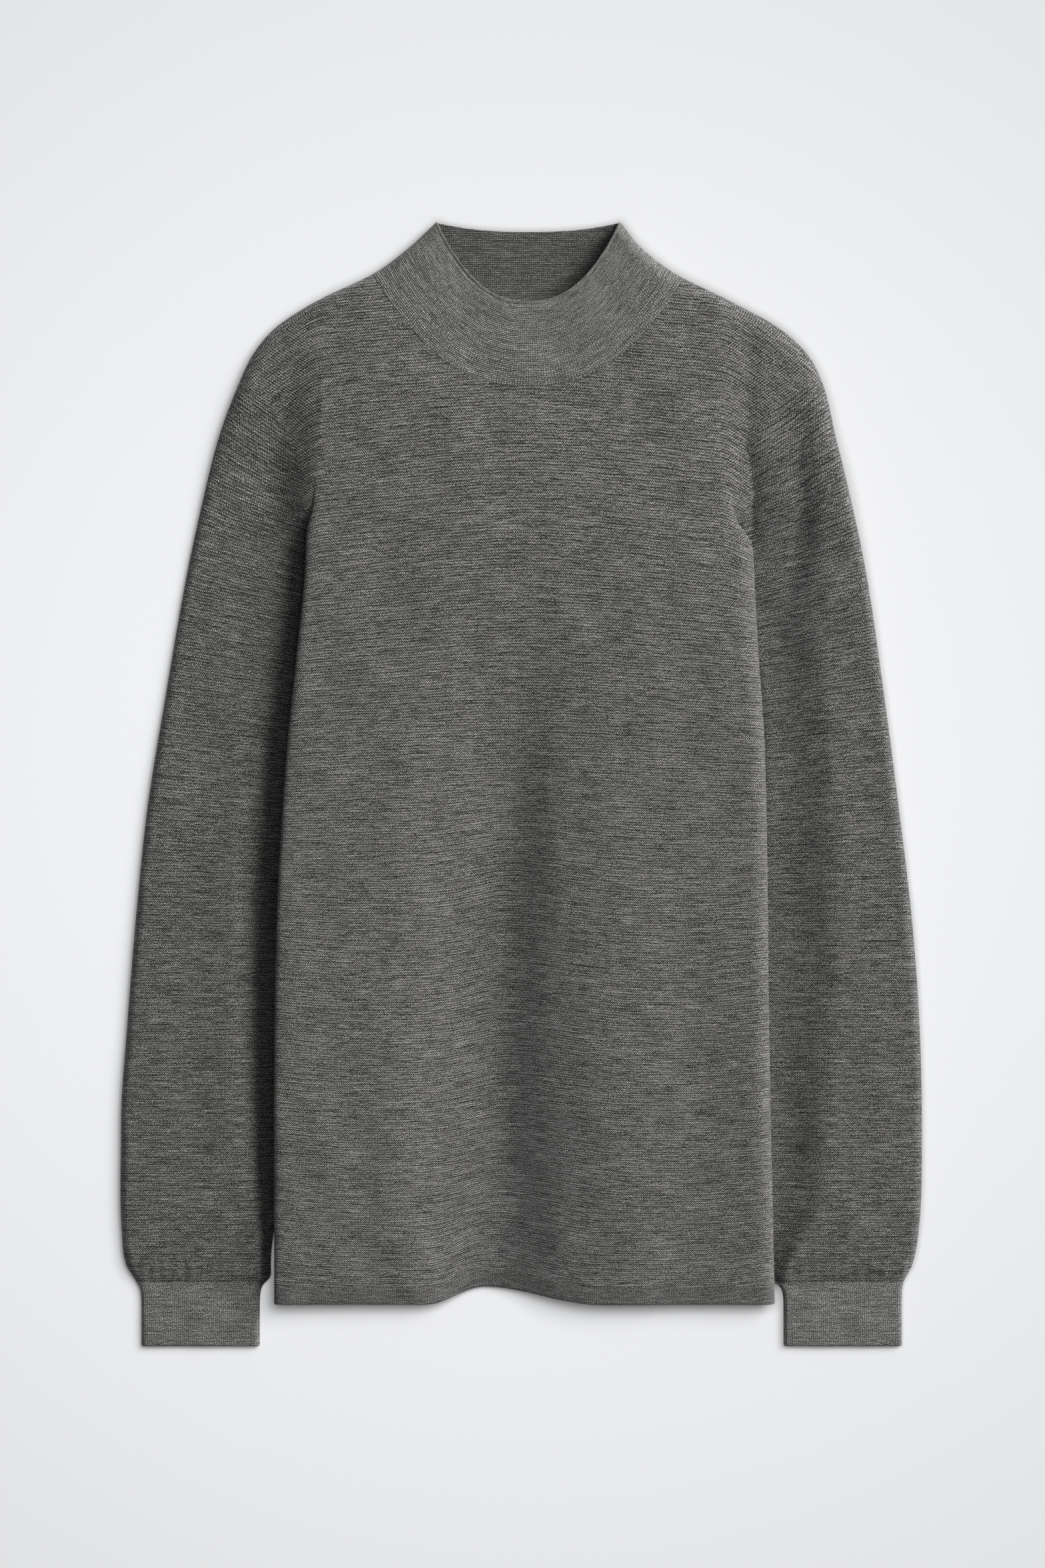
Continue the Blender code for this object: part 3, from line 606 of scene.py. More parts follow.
def side_section(q, side):
    """Distance and height across the front's side: its roll or valley, then the last strip."""
    start = float(roll_start(q, side))
    high = float(column(BODY, q, 4))
    turn = -math.pi * float(folded(q))
    way = np.array((math.cos(turn), math.sin(turn)))
    if q <= FOLD_Q:
        end = np.array((start, under_body(start, q, side)))
        low = float(tuck_end(q, side))
        climb = np.clip(covered_from(q, side), low + 0.004, start - 0.008)
        foot = max(climb - RAMP, low + 0.002)
        stops = (start, climb, foot, low) if q < UNDERARM_Q else mix(start, low, np.linspace(0, 1, 4))
        d = np.interp(FLAP * 3, (0, 1, 2, 3), stops)
        strip = stack(d, under_body(d, q, side))
    else:
        seam = np.array((seam_distance(q, side), seam_height(q)))
        end = seam - MARGIN * way
        strip = mix(end, seam, FLAP[:, None])
    open_reach = 0.45 * (sided(ARMHOLE, q, side) - start)
    reach = mix(open_reach, 4 / 3 * (sided(BODY_EDGE, q, side) - start), folded(q) ** 2)
    curve = bezier(((start, high), (start + reach, high), end - reach * way, end), ROLL)
    if side < 0:
        curve = mix(curve, creased_edge(start, sided(BODY_EDGE, q, side), high, end), folded(q))
    return join(curve, strip)


def front_half(side, rows):
    """Rows of the front from its middle to its side, then back under it."""
    plateau = plateau_shares(side)
    level = len(plateau)
    x_top = join(NECK_X + side * plateau * (roll_start(TOP_Q, side) - side * NECK_X),
                 side * side_section(TOP_Q, side)[:, 0])
    top_lift = top_row(side, x_top, NECK_FRONT_Y) - TOP_Q
    top_lift[-1] = 0
    grid = []
    for q in rows:
        start = roll_start(q, side)
        section = side_section(q, side)
        x = join(NECK_X + side * plateau * (start - side * NECK_X), side * section[:, 0])
        z = join(mix(column(BODY, q, 3), column(BODY, q, 4), plateau**2), section[:, 1])
        y = q + top_lift * neck_pull(q)
        lift = hem_lift(x, y)
        if q > FOLD_Q:
            open_z = open_height(x[level:], y[level:], side, column(BODY, q, 4))
            z[level:] = mix(open_z, z[level:], folded(q))
        z[:level] -= middle_fold(x, y + lift)[:level]
        turned = folded(q) * smooth(np.arange(1, len(section) + 1) / FADE_COLUMNS)
        z = z + uneven(x, y + lift) * join(np.ones(level), 1 - turned)
        if q > 0.2:
            z = mix(TOP_HEIGHT / 2, z, roll_off(x, y, side))
        u = side * running(np.hypot(np.diff(x), np.diff(z)))
        grid.append(stack(x, y + lift, z, u, body_row(x, y)))
    return np.array(grid)


def front_grid(rows):
    return join(front_half(-1, rows)[:, :0:-1], front_half(1, rows), axis=1)


def seam_length(side):
    """y along the armhole seam, and its length up to there."""
    q = np.linspace(UNDERARM_Q, TOP_Q, 240)
    return q, running(np.hypot(np.diff(seam_distance(q, side)), np.diff(q)))


def seam_curve(side, share):
    q, run = seam_length(side)
    at = np.interp(np.asarray(share) * run[-1], run, q)
    return stack(side * seam_distance(at, side), at)


def sleeve_ends(side, v):
    """Inner and outer end of the sleeve's row at share v of its length."""
    inner_y = mix(UNDERARM_Q, CUFF_TOP, v)
    outer_y = inner_y + (TOP_Q - UNDERARM_Q) * max(0.0, 1 - v / FAN) ** 2
    return (np.array((side * sleeve_inner(inner_y, side), inner_y)),
            np.array((side * sided(OUTLINE, outer_y, side), outer_y)))


def sleeve_plan(side, u, v):
    """Sleeve laid out: u from the underarm side (0) to the outer side (1), v from seam to cuff."""
    u = u[:, None]
    inner, outer = sleeve_ends(side, v)
    if v >= FAN:
        return mix(inner, outer, u)
    seam = seam_curve(side, u[:, 0])
    underarm, shoulder = seam_curve(side, (0, 1))
    level_in, level_out = sleeve_ends(side, FAN)
    share_in = (underarm[1] - inner[1]) / (underarm[1] - level_in[1])
    share_out = (shoulder[1] - outer[1]) / (shoulder[1] - level_out[1])
    plan = mix(seam, mix(level_in, level_out, u), mix(share_in, share_out, u))
    shift_in = inner - mix(underarm, level_in, share_in)
    shift_out = outer - mix(shoulder, level_out, share_out)
    return plan + mix(shift_in, shift_out, u)


def rise_start(y, side):
    """Distance from x = 0 at which the sleeve comes out from under the body and begins to rise."""
    start = roll_start(y, side) + SLEEVE_CLEAR
    start = np.where(y > FOLD_Q, np.maximum(start, seam_distance(y, side)), start)
    free = 1 - smooth((y - HEM_LOW) / 0.05)
    return mix(start, sleeve_inner(y, side), free)


def sleeve_height(x, y, side):
    """Height of the sleeve's front layer away from its outer side."""
    seam, crest = seam_height(y), side_column(SLEEVE, y, side, 3)
    off = side * x - rise_start(y, side)
    at_once = smooth(off / LIP_RUN)
    low = seam + side_column(LIPS, y, side, 1) * at_once
    late = 1.4 + 0.25 * smooth((y + 0.05) / 0.15)
    rolled = mix(low, crest, smooth(np.clip(off / side_column(SLEEVE, y, side, 5), 0, 1) ** late))
    if side > 0:
        rolled = mix(rolled, mix(seam, right_steps(x, y), at_once), smooth((y - 0.09) / 0.05))
    return mix(open_height(x, y, side, column(BODY, y, 4)), rolled, folded(y))


PUCKER = (-0.327, 0.008, 0.00045)  # puckers above the cuffs: y, reach, height
PUCKER_LENGTH = 0.0078  # from one pucker to the next
SLEEVE_PARTS = (6, 20, 14, 12)  # columns in the hidden part, the rise, the crest and the roll
HIDDEN_SHARE = 0.05  # least share of a row that the hidden part takes
RISE_RUN = 0.052  # longest stretch of a row that the rise takes


def sleeve_shares(side, v):
    """Shares across the row at v, closer together in the rise and round the outer side."""
    hidden, rise, crest, roll = SLEEVE_PARTS
    u = np.linspace(0, 1, 240)
    line = sleeve_plan(side, u, v)
    run = np.hypot(*(line[-1] - line[0]))
    out = side * line[:, 0] - rise_start(line[:, 1], side)
    k = int(np.argmax(out > 1e-6))
    cross = u[k] - (u[k] - u[k - 1]) * out[k] / (out[k] - out[k - 1]) if k else 0
    cross = max(cross, HIDDEN_SHARE)
    near = 1 - (1 - eased(roll)) * roll_reach(line[-1][1]) / run
    climb = cross + np.linspace(0, min(RISE_RUN, (near[0] - cross) * run - 0.006), rise + 1)[1:] / run
    flat = mix(climb[-1], near[0], np.linspace(0, 1, crest + 1)[1:-1])
    return join(np.linspace(0, cross, hidden + 1), climb, flat, near)


SEAM_STOPS = (UNDERARM_Q, 0.136, FOLD_Q, 0.172, 0.179, 0.189, OPEN_Q, 0.218,
              0.238, 0.255, 0.2625, 0.2664, 0.2688, TOP_Q)
SLEEVE_ROWS = join(np.linspace(0, 0.1, 26), np.linspace(0.1, 0.93, 118)[1:], np.linspace(0.93, 1, 16)[1:])


def sleeve_grid(side):
    """Front layer, round the outer side, back layer."""
    q, run = seam_length(side)
    stops = np.interp(SEAM_STOPS, q, run / run[-1])
    at = np.concatenate([np.linspace(a, b, n + 1)[:-1] for a, b, n in
                         zip((0, 3, 6, 9), (3, 6, 9, 13), SLEEVE_PARTS)] + [[13.0]])
    seam_shares = np.interp(at, np.arange(14), stops)
    grid = []
    for v in SLEEVE_ROWS:
        u = mix(sleeve_shares(side, v), seam_shares, max(0.0, 1 - v / 0.08)) if v else seam_shares
        x, y = sleeve_plan(side, u, v).T
        away = roll_off(x, y, side)
        away[-1] = 0
        crest = sleeve_height(x, y, side)
        shown = mix(1.0, smooth((side * x - rise_start(y, side)) / RAMP), folded(y))
        half = mix(crest / 2, TOP_HEIGHT / 2, smooth((y - 0.15) / 0.10))
        rough = uneven(x, y) * shown * smooth((y - CUFF_TOP) / 0.02)
        pucker = ridge(y, *PUCKER) * np.sin(2 * math.pi * x / PUCKER_LENGTH + 1.1 * np.sin(x * 150))
        top = mix(half, crest + rough + pucker, away)
        front = stack(x, y, top)
        back = stack(x, y, half * (1 - away))
        face = join(front, back[-2::-1])
        spare = running(steps(face) - steps(face[:, :2]))
        last = len(x) - 1
        spare -= spare[last - SLEEVE_PARTS[-1]]
        out = np.where(np.arange(len(face)) <= last, np.maximum(spare, 0), np.minimum(spare, 2 * spare[last]))
        knit_u, knit_v = sleeve_knit(face[:, 0], face[:, 1], side, out)
        grid.append(join(face, knit_u[:, None], knit_v[:, None], axis=1))
    return np.array(grid)


def back_columns(q, side):
    """Distances from x = 0 of the points along one row of the back."""
    inside = float(roll_start(q, side)) - SLEEVE_CLEAR
    limit = float(mix(seam_distance(q, side), inside, smooth((CLEAR_Q - q) / RAMP)))
    end = min(float(tuck_end(q, side)), limit - 0.006)
    climb = float(np.clip(covered_from(q, side), end + 0.004, limit - 0.002))
    foot = max(climb - RAMP, end + 0.002)
    layered = np.array((end - BACK_CLIMB, end - BACK_CLIMB / 2, end, foot, climb, limit))
    knee = mix(0.6 * limit, side * NECK_X + NECK_HALF, smooth((q - FOLD_Q) / (TOP_Q - FOLD_Q)))
    plain = mix(knee, limit, np.linspace(0, 1, 6))
    layered = mix(layered, plain, float(smooth((q - FOLD_Q) / (CLEAR_Q - FOLD_Q))))
    flat = side * NECK_X + NECK_STEPS[::2] * (layered[0] - side * NECK_X)
    return join(flat, np.interp(np.linspace(0, 5, 26)[1:], np.arange(6), layered))


def back_heights(d, q, side):
    """Height of the back's underside, and its thickness, which doubles in the turned-in side."""
    fade = 1 - smooth((q - FOLD_Q) / RAMP)
    end = tuck_end(q, side)
    rest = under_body(np.maximum(d, end), q, side) + CLOTH + EASE
    under = rest * smooth((d - end + BACK_CLIMB) / 0.018) * fade
    return under, mix(CLOTH, STACK, smooth((d - end) / RAMP) * fade)


def back_grid(rows):
    """Underside of the back, with the thickness at each point as a sixth value."""
    grid = []
    for q in rows:
        half = {}
        for side in (-1, 1):
            x = side * back_columns(q, side)
            lift = top_row(side, side * back_columns(TOP_Q, side), NECK_BACK_Y) - TOP_Q
            lift[-1] = 0
            y = q + lift * neck_pull(q)
            hem = hem_lift(x, y)
            under, thick = back_heights(side * x, q, side)
            if q > 0.2:
                under = mix(TOP_HEIGHT / 2, under, roll_off(x, y, side))
            half[side] = stack(x, y + hem, under, x, body_row(x, y), thick)
        grid.append(join(half[-1][:0:-1], half[1]))
    return np.array(grid)


def collar_grid(rows):
    grid = []
    for v in rows:
        height = mix(TOP_HEIGHT, RIM_HEIGHT, v)
        reach = mix(SHOULDER_ROLL, COLLAR_ROLL, smooth(v / 0.3))
        half = {}
        for side in (-1, 1):
            corner = mix(junction_y(side), RIM_TOP, v)
            wide = sided(OUTLINE, corner, side) - side * NECK_X
            for seam, rim, lean in ((NECK_FRONT_Y, RIM_FRONT_Y, 1), (NECK_BACK_Y, RIM_BACK_Y, -1)):
                x = NECK_X + side * COLLAR_STEPS * wide
                y = neck_curve(COLLAR_STEPS, corner, mix(seam, rim, v))
                near = rounded(outline_distance(x, y, side), reach)
                near[-1] = 0
                z = height / 2 * (1 + lean * near)
                if lean < 0:
                    z = z + BACK_RISE * near * v**1.5
                groove = ridge((1 - v) * (rim - seam), *RIM_GROOVE)
                z = z + max(lean, 0) * near * (uneven(x, y) * smooth(v / 0.1) - groove)
                half[side, lean] = stack(x, y, z)
        grid.append(join(half[1, 1], half[1, -1][-2::-1], half[-1, -1][1:], half[-1, 1][-2:0:-1]))
    grid = np.array(grid)
    count = len(COLLAR_STEPS)
    ring = closed(grid)
    u = running(steps(ring[len(rows) // 2]))
    u[-count:] -= u[-1]
    u, v = np.meshgrid(u, running(steps(ring[:, 0])))
    back = slice(count, -count)
    u[:, back], v[:, back] = ring[:, back, 0], ring[:, back, 1]
    return grid, u, v


def cuff_grid(side, end, rows):
    """Flat tube of the cuff that flares into end, the sleeve's last row, with its knit coordinates."""
    bend = CUFF_HEIGHT / 2
    arc = np.linspace(math.pi / 2, -math.pi / 2, 17)
    flat = np.linspace(-1, 1, 27)[1:-1] * (CUFF_WIDTH / 2 - bend)
    outer_x = CUFF_WIDTH / 2 - bend + bend * np.cos(arc)
    x = join(flat, outer_x, -flat, -outer_x[::-1])
    z = bend + join(np.full(len(flat), bend), bend * np.sin(arc), np.full(len(flat), -bend),
                    bend * np.sin(arc[::-1]))
    middle = side * (sided(OUTLINE, CUFF_LOW, side) - CUFF_WIDTH / 2)
    end = end[:len(end) // 2 + 1]
    span = side * end[[0, -1], 0]
    grid = []
    for y in rows:
        near = math.exp((y - CUFF_TOP) / CUFF_FLARE)
        at = side * mix(side * middle + x, np.interp(x / CUFF_WIDTH, (-0.5, 0.5), span), near)
        upper = np.clip(z / bend - 1, 0, 1)
        swell = CUFF_SWELL[0] + CUFF_SWELL[1] * math.sin(math.pi * (CUFF_TOP - y) / (CUFF_TOP - CUFF_LOW))
        wave = 0.00025 * np.sin(at * 190 + 1.3 * side) + 0.0002 * np.sin(at * 90 + y * 260)
        top = np.interp(side * at, side * end[:, 0], end[:, 2])
        height = np.where(upper > 0, mix(z + upper * (swell + wave), np.maximum(top, bend), near), z)
        grid.append(stack(at, np.full(len(x), y), height))
    grid = np.array(grid)
    u, v = np.meshgrid(running(steps(closed(grid)[0])), rows)
    return grid, u, v


def hem_back_grid(rows):
    pitch = RIB + NAP
    bend = HEM_BEND
    turn = np.linspace(math.pi / 2, -math.pi / 2, 13)
    grid = []
    for q in rows:
        half = {}
        for side in (-1, 1):
            end = float(tuck_end(q, side))
            start = float(roll_start(q, side))
            flat = back_columns(q, side)[:len(NECK_STEPS[::2])]
            climb = np.linspace(0, 1, 13)[1:]
            d = join(flat, end - BACK_CLIMB + 0.021 * climb,
                     np.linspace(end + 0.01, start - 0.008, 6),
                     (start - 0.006,), start - 0.003 + bend * np.cos(turn),
                     np.linspace(start - 0.008, end, 6))
            z = join(np.zeros(len(flat)), 2 * pitch * smooth(climb), np.full(6, 2 * pitch),
                     (2 * pitch + bend,), 2 * pitch - NAP + bend + bend * np.sin(turn),
                     np.full(6, 2 * pitch - NAP))
            x = side * d
            u = side * running(np.hypot(np.diff(d), np.diff(z)))
            half[side] = stack(x, q + hem_lift(x, q), z, u, body_row(x, q))
        grid.append(join(half[-1][:0:-1], half[1]))
    return np.array(grid)


# ---- shells
EDGE_STEPS = (0.0004, 0.0010)  # extra rows of the mesh beside an edge
EDGE_DROP = {  # how far the wall thins towards an edge, at 0 and at those rows
    "seam": (0.00005, 0.0, 0.0),
    "free": (0.00078, 0.00030, 0.00004),
    None: (0.0, 0.0, 0.0),
}


def beside_edges(grid):
    """The grid with two more rows beside its first and its last row."""
    for _ in range(2):
        step = grid[1] - grid[0]
        length = np.linalg.norm(step[:, :3], axis=-1, keepdims=True)
        extra = [grid[0] + step * np.minimum(d / length, 0.3 + 0.3 * k) for k, d in enumerate(EDGE_STEPS)]
        grid = join(grid[:1], extra, grid[1:])[::-1]
    return grid


def thinned(count, first, last):
    """How far each of count rows is thinned, by the kinds of its two edges."""
    drop = np.zeros(count)
    drop[:3] = EDGE_DROP[first]
    drop[-3:] = np.maximum(drop[-3:], EDGE_DROP[last][::-1])
    return drop


def unit(vectors):
    """The vectors, each made 1 long."""
    return vectors / np.maximum(np.linalg.norm(vectors, axis=-1, keepdims=True), 1e-12)


def point_normals(face, ring):
    if ring:
        face = join(face[:, -1:], face, face[:, :1], axis=1)
    a, b, c, d = face[:-1, :-1], face[:-1, 1:], face[1:, 1:], face[1:, :-1]
    quad = unit(np.cross(c - a, d - b))
    total = np.zeros_like(face)
    for rows in (slice(0, -1), slice(1, None)):
        for columns in (slice(0, -1), slice(1, None)):
            total[rows, columns] += quad
    if ring:
        total = total[:, 1:-1]
    return unit(total)


def along_edge(edge, normals):
    """Normals of an edge turned to lean only along it, as seen from above."""
    run = np.diff(edge[:, :2], axis=0)
    run = unit(join(run, run[-1:]))
    lean = (normals[:, :2] * run).sum(-1, keepdims=True)
    return unit(join(run * lean, normals[:, 2:], axis=-1))


def place(name, data):
    thing = bpy.data.objects.new(name, data)
    bpy.context.scene.collection.objects.link(thing)
    return thing


def shell(name, grid, thickness, outward, material, edges, ring=None, level="sides", inside=None):
    """Closed thin shell of cloth. edges names the first row, last row and side columns. A tube has its knit
    coordinates in ring. level tells which edges stay upright, and inside is the inner face's material."""
    if ring is not None:
        grid = join(closed(grid), stack(*ring), axis=-1)
    grid = beside_edges(grid)
    if ring is None:
        grid = beside_edges(grid.swapaxes(0, 1)).swapaxes(0, 1)
    face, corner_uv = grid[..., :3], grid[..., 3:]
    if ring is not None:
        face = face[:, :-1]
    rows, columns = face.shape[:2]
    normals = point_normals(face, ring is not None) * outward
    if ring is None:
        for row in (0, -1):
            steep = np.abs(normals[row, :, 2]) < 0.65
            normals[row, steep, 2] = 0
            normals[row] = unit(normals[row])
    for k in (0, -1):
        if level == "sides":
            normals[:, k] = along_edge(face[:, k], normals[:, k])
        if level == "ends":
            normals[k] = along_edge(face[k], normals[k])
    drop = thinned(rows, edges[0], edges[1])[:, None]
    if ring is None:
        drop = np.maximum(drop, thinned(columns, edges[2], edges[2])[None, :])
    drop = np.broadcast_to(drop, (rows, columns))
    outer = face - normals * drop[..., None]
    inner = face - normals * (thickness - 0.8 * drop)[..., None]
    index = np.arange(rows * columns).reshape(rows, columns)
    if ring is not None:
        index = closed(index)

    def quads(of):
        return np.stack((of[:-1, :-1], of[:-1, 1:], of[1:, 1:], of[1:, :-1]), axis=2)

    faces = quads(index).reshape(-1, 4)
    face_uv = quads(corner_uv).reshape(-1, 4, 2)
    count = rows * columns
    edge = [(index[0], corner_uv[0], True), (index[-1], corner_uv[-1], False)]
    if ring is None:
        edge += [(index[:, 0], corner_uv[:, 0], False), (index[:, -1], corner_uv[:, -1], True)]
    all_faces, all_uv = [faces, faces[:, ::-1] + count], [face_uv, face_uv[:, ::-1]]
    for line, line_uv, flip in edge:
        a, b = (line[1:], line[:-1]) if flip else (line[:-1], line[1:])
        ua, ub = (line_uv[1:], line_uv[:-1]) if flip else (line_uv[:-1], line_uv[1:])
        all_faces.append(stack(a, b, b + count, a + count))
        all_uv.append(np.stack((ua, ub, ub, ua), axis=1))
    faces, face_uv = np.concatenate(all_faces), np.concatenate(all_uv)
    if outward < 0:
        faces, face_uv = faces[:, ::-1], face_uv[:, ::-1]
    mesh = bpy.data.meshes.new(name)
    points = join(outer.reshape(-1, 3), inner.reshape(-1, 3))
    mesh.from_pydata(points.tolist(), [], faces.tolist())
    layer = mesh.uv_layers.new(name="Knit")
    layer.uv.foreach_set("vector", face_uv.reshape(-1).astype(np.float32))
    mesh.shade_smooth()
    lines = [of for of, kind in ((index[0], edges[0]), (index[-1], edges[1])) if kind == "seam"]
    if ring is None:
        lines += [index[:, 0], index[:, -1]]
    seam = np.zeros(2 * count, bool)
    for line in lines:
        seam[line] = seam[line + count] = True
    ends = np.empty(2 * len(mesh.edges), np.int64)
    mesh.edges.foreach_get("vertices", ends)
    ends = ends.reshape(-1, 2)
    sharp = seam[ends].all(1) & ((ends < count).all(1) | (ends >= count).all(1))
    mesh.attributes.new("sharp_edge", "BOOLEAN", "EDGE").data.foreach_set("value", sharp)
    mesh.materials.append(material)
    if inside:
        mesh.materials.append(inside)
        skin = (rows - 1) * (index.shape[1] - 1)
        kinds = np.zeros(len(mesh.polygons), np.int32)
        kinds[skin:2 * skin] = 1
        mesh.polygons.foreach_set("material_index", kinds)
    return place(name, mesh)


# ---- materials
class Builder:
    """Adds nodes to one material; sockets and plain numbers are both taken as inputs."""

    def __init__(self, name):
        self.material = bpy.data.materials.new(name)
        self.material.use_nodes = True
        self.tree = self.material.node_tree
        self.shader = self.tree.nodes["Principled BSDF"]

    def node(self, kind, inputs=(), **settings):
        node = self.tree.nodes.new(kind)
        for key, value in settings.items():
            setattr(node, key, value)
        for key, value in dict(inputs).items():
            if isinstance(value, bpy.types.NodeSocket):
                self.tree.links.new(value, node.inputs[key])
            else:
                node.inputs[key].default_value = value
        return node

    def surface(self, values):
        for key, value in values.items():
            self.shader.inputs[key].default_value = value

    def math(self, operation, a, b=0.0, c=0.0):
        return self.node("ShaderNodeMath", {0: a, 1: b, 2: c}, operation=operation).outputs[0]

    def noise(self, x, y, per_x, per_y, detail, roughness, x_shift=0.0, y_shift=0.0):
        """Noise with about per_x and per_y periods for each unit of x and y."""
        x = self.math("MULTIPLY_ADD", x, per_x, x_shift)
        y = self.math("MULTIPLY_ADD", y, per_y, y_shift)
        at = self.node("ShaderNodeCombineXYZ", {0: x, 1: y, 2: 0.0}).outputs[0]
        return self.node("ShaderNodeTexNoise", {"Vector": at, "Scale": 1.0, "Detail": detail,
                                                "Roughness": roughness}).outputs["Fac"]

    def wave(self, turns):
        return self.math("COSINE", self.math("MULTIPLY", turns, 2 * math.pi))

    def summed(self, start, *terms):
        """start plus each (weight, value)."""
        for weight, value in terms:
            start = self.math("MULTIPLY_ADD", value, weight, start)
        return start


def knit(name, wale, course, tones, zigzag, stitch, rib, streak, fibre, mottle, bump):
    """Knit cloth that follows the piece's rows. wale and course are the width and height of a stitch."""
    b = Builder(name)
    uv = b.node("ShaderNodeUVMap", uv_map="Knit").outputs[0]
    xyz = b.node("ShaderNodeSeparateXYZ", {0: uv})
    u, v = xyz.outputs[0], xyz.outputs[1]
    drift_u = b.noise(u, v, 90.0, 90.0, 1.0, 0.5)
    drift_v = b.noise(u, v, 70.0, 70.0, 1.0, 0.5, x_shift=31.0)
    across = b.math("MULTIPLY_ADD", drift_u, 0.9, b.math("MULTIPLY", u, 1 / wale))
    along = b.math("MULTIPLY_ADD", drift_v, 0.7, b.math("MULTIPLY", v, 1 / course))
    columns = b.wave(across)
    stitches = b.wave(b.math("MULTIPLY_ADD", columns, zigzag, along))
    streaks = b.math("ADD", b.noise(across, along, 0.055, 1.0, 1.0, 0.6),
                     b.noise(across, along, 0.20, 1.1, 1.0, 0.6, y_shift=57.0))
    fibres = b.noise(across, along, 2.1, 2.1, 2.0, 0.7)
    mottles = b.noise(across, along, 0.03, 0.09, 3.0, 0.6)
    # The stitches and ribs terms darken the tone where the knit's bump height is low: painted shade between
    # stitches and ribs.
    tone = b.summed(0.5 - streak - 0.5 * (fibre + mottle), (stitch, stitches), (rib, columns),
                    (streak, streaks), (fibre, fibres), (mottle, mottles))
    ramp = b.node("ShaderNodeValToRGB", {0: tone})
    stops = ramp.color_ramp.elements
    stops[0].color = (*tones[0], 1)
    stops[1].color = (*tones[2], 1)
    stops.new(0.5).color = (*tones[1], 1)
    height = b.summed(0.0, (1.0, stitches), (2 * rib, columns), (0.8, fibres))
    raised = b.node("ShaderNodeBump", {"Strength": bump, "Distance": 0.0004, "Height": height})
    b.tree.links.new(ramp.outputs[0], b.shader.inputs["Base Color"])
    b.tree.links.new(raised.outputs[0], b.shader.inputs["Normal"])
    b.surface({"Roughness": 0.92, "Specular IOR Level": 0.18, "Sheen Weight": 0.25, "Sheen Roughness": 0.45})
    return b.material


# Colours of dark, middle and light wool.
TONES = ((0.0020, 0.0019, 0.0018), (0.0620, 0.0602, 0.0571), (0.512, 0.502, 0.484))
# The rib's tones are lighter than the body's: painted light on the cuffs and the collar's outside.
RIB_PAINTED_LIGHT_TONES = ((0.0026, 0.0025, 0.0023), (0.101, 0.0986, 0.0930), (0.665, 0.655, 0.636))
# The inside's tones are darker than the rib's: painted shade inside the collar.
INSIDE_PAINTED_SHADE_TONES = ((0.0020, 0.0019, 0.0018), (0.0740, 0.0718, 0.0678), (0.500, 0.490, 0.472))
# Share of each effect in the tone: stitches and ribs, which darken it in the knit's hollows as painted shade,
# then streaks, fibres and mottling.
KNITS = {
    # wale, course, tones, zigzag, stitches, ribs, streaks, fibres, mottling, bump
    "body_knit": (0.00144, COURSE, TONES, 0.25, 0.28, 0.0, 0.56, 2.65, 0.16, 0.5),
    "sleeve_knit": (0.00144, COURSE, TONES, 0.25, 0.21, 0.0, 0.54, 2.60, 0.16, 0.6),
    "collar_knit": (0.00132, 0.00122, RIB_PAINTED_LIGHT_TONES, 0.0, 0.07, 0.09, 0.42, 2.40, 0.14, 0.5),
    # The collar's inner faces are darkened with painted shade.
    "collar_inside_painted_shade": (0.00132, 0.00122, INSIDE_PAINTED_SHADE_TONES, 0.0, 0.07, 0.09, 0.42, 2.20, 0.14, 0.5),
    "cuff_knit": (0.00144, 0.00120, RIB_PAINTED_LIGHT_TONES, 0.25, 0.08, 0.11, 0.42, 2.60, 0.12, 0.5),
    "hem_knit": (0.00130, 0.00125, TONES, 0.25, 0.09, 0.08, 0.42, 2.60, 0.12, 0.5),
}
KNIT = {name: knit(name, *values) for name, values in KNITS.items()}


# ---- pieces
def dress(piece, node):
    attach(piece, "root")
    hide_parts(node)


SIDES = ((-1, "left"), (1, "right"))
ALL_SEAMS = ("seam", "seam", "seam")
front = shell("front_cloth", front_grid(BODY_ROWS), CLOTH, 1, KNIT["body_knit"], ALL_SEAMS)
lower = back_grid(BODY_ROWS)
thickness = beside_edges(beside_edges(lower).swapaxes(0, 1)).swapaxes(0, 1)[..., 5]
back = shell("back_cloth", lower[..., :5], thickness, -1, KNIT["body_knit"], ALL_SEAMS)
grids = {side: sleeve_grid(side) for side, word in SIDES}
sleeves = {side: shell(f"sleeve_{word}_cloth", grids[side], CLOTH, -side, KNIT["sleeve_knit"],
                       ("seam", "seam", None), level="ends") for side, word in SIDES}
cuffs = {}
for side, word in SIDES:
    grid, u, v = cuff_grid(side, grids[side][-1], mix(CUFF_TOP, CUFF_LOW, np.linspace(0, 1, 26) ** 1.3))
    cuffs[side] = shell(f"cuff_{word}_cloth", grid, RIB, -side, KNIT["cuff_knit"], ("seam", "free"),
                        ring=(u, v), level=None)
grid, u, v = collar_grid(join(np.linspace(0, 0.9, 28), np.linspace(0.9, 1, 12)[1:]))
collar = shell("collar_cloth", grid, RIB, 1, KNIT["collar_knit"], ("seam", "free"), ring=(u, v), level=None,
               inside=KNIT["collar_inside_painted_shade"])
hem_front = shell("hem_front_cloth", front_grid(np.linspace(HEM_LOW, HEM_TOP, 8)), RIB, 1, KNIT["hem_knit"],
                  ("free", "seam", "seam"))
hem_back = shell("hem_back_cloth", hem_back_grid(np.linspace(HEM_LOW + HEM_SHORT, HEM_TOP, 8)), RIB, -1,
                 KNIT["hem_knit"], ("free", "seam", "seam"))

dress(front, "front")
dress(back, "back")
for side, word in SIDES:
    dress(sleeves[side], "sleeve_" + word)
    dress(cuffs[side], "cuff_" + word)
dress(collar, "collar")
dress(hem_front, "hem_front")
dress(hem_back, "hem_back")

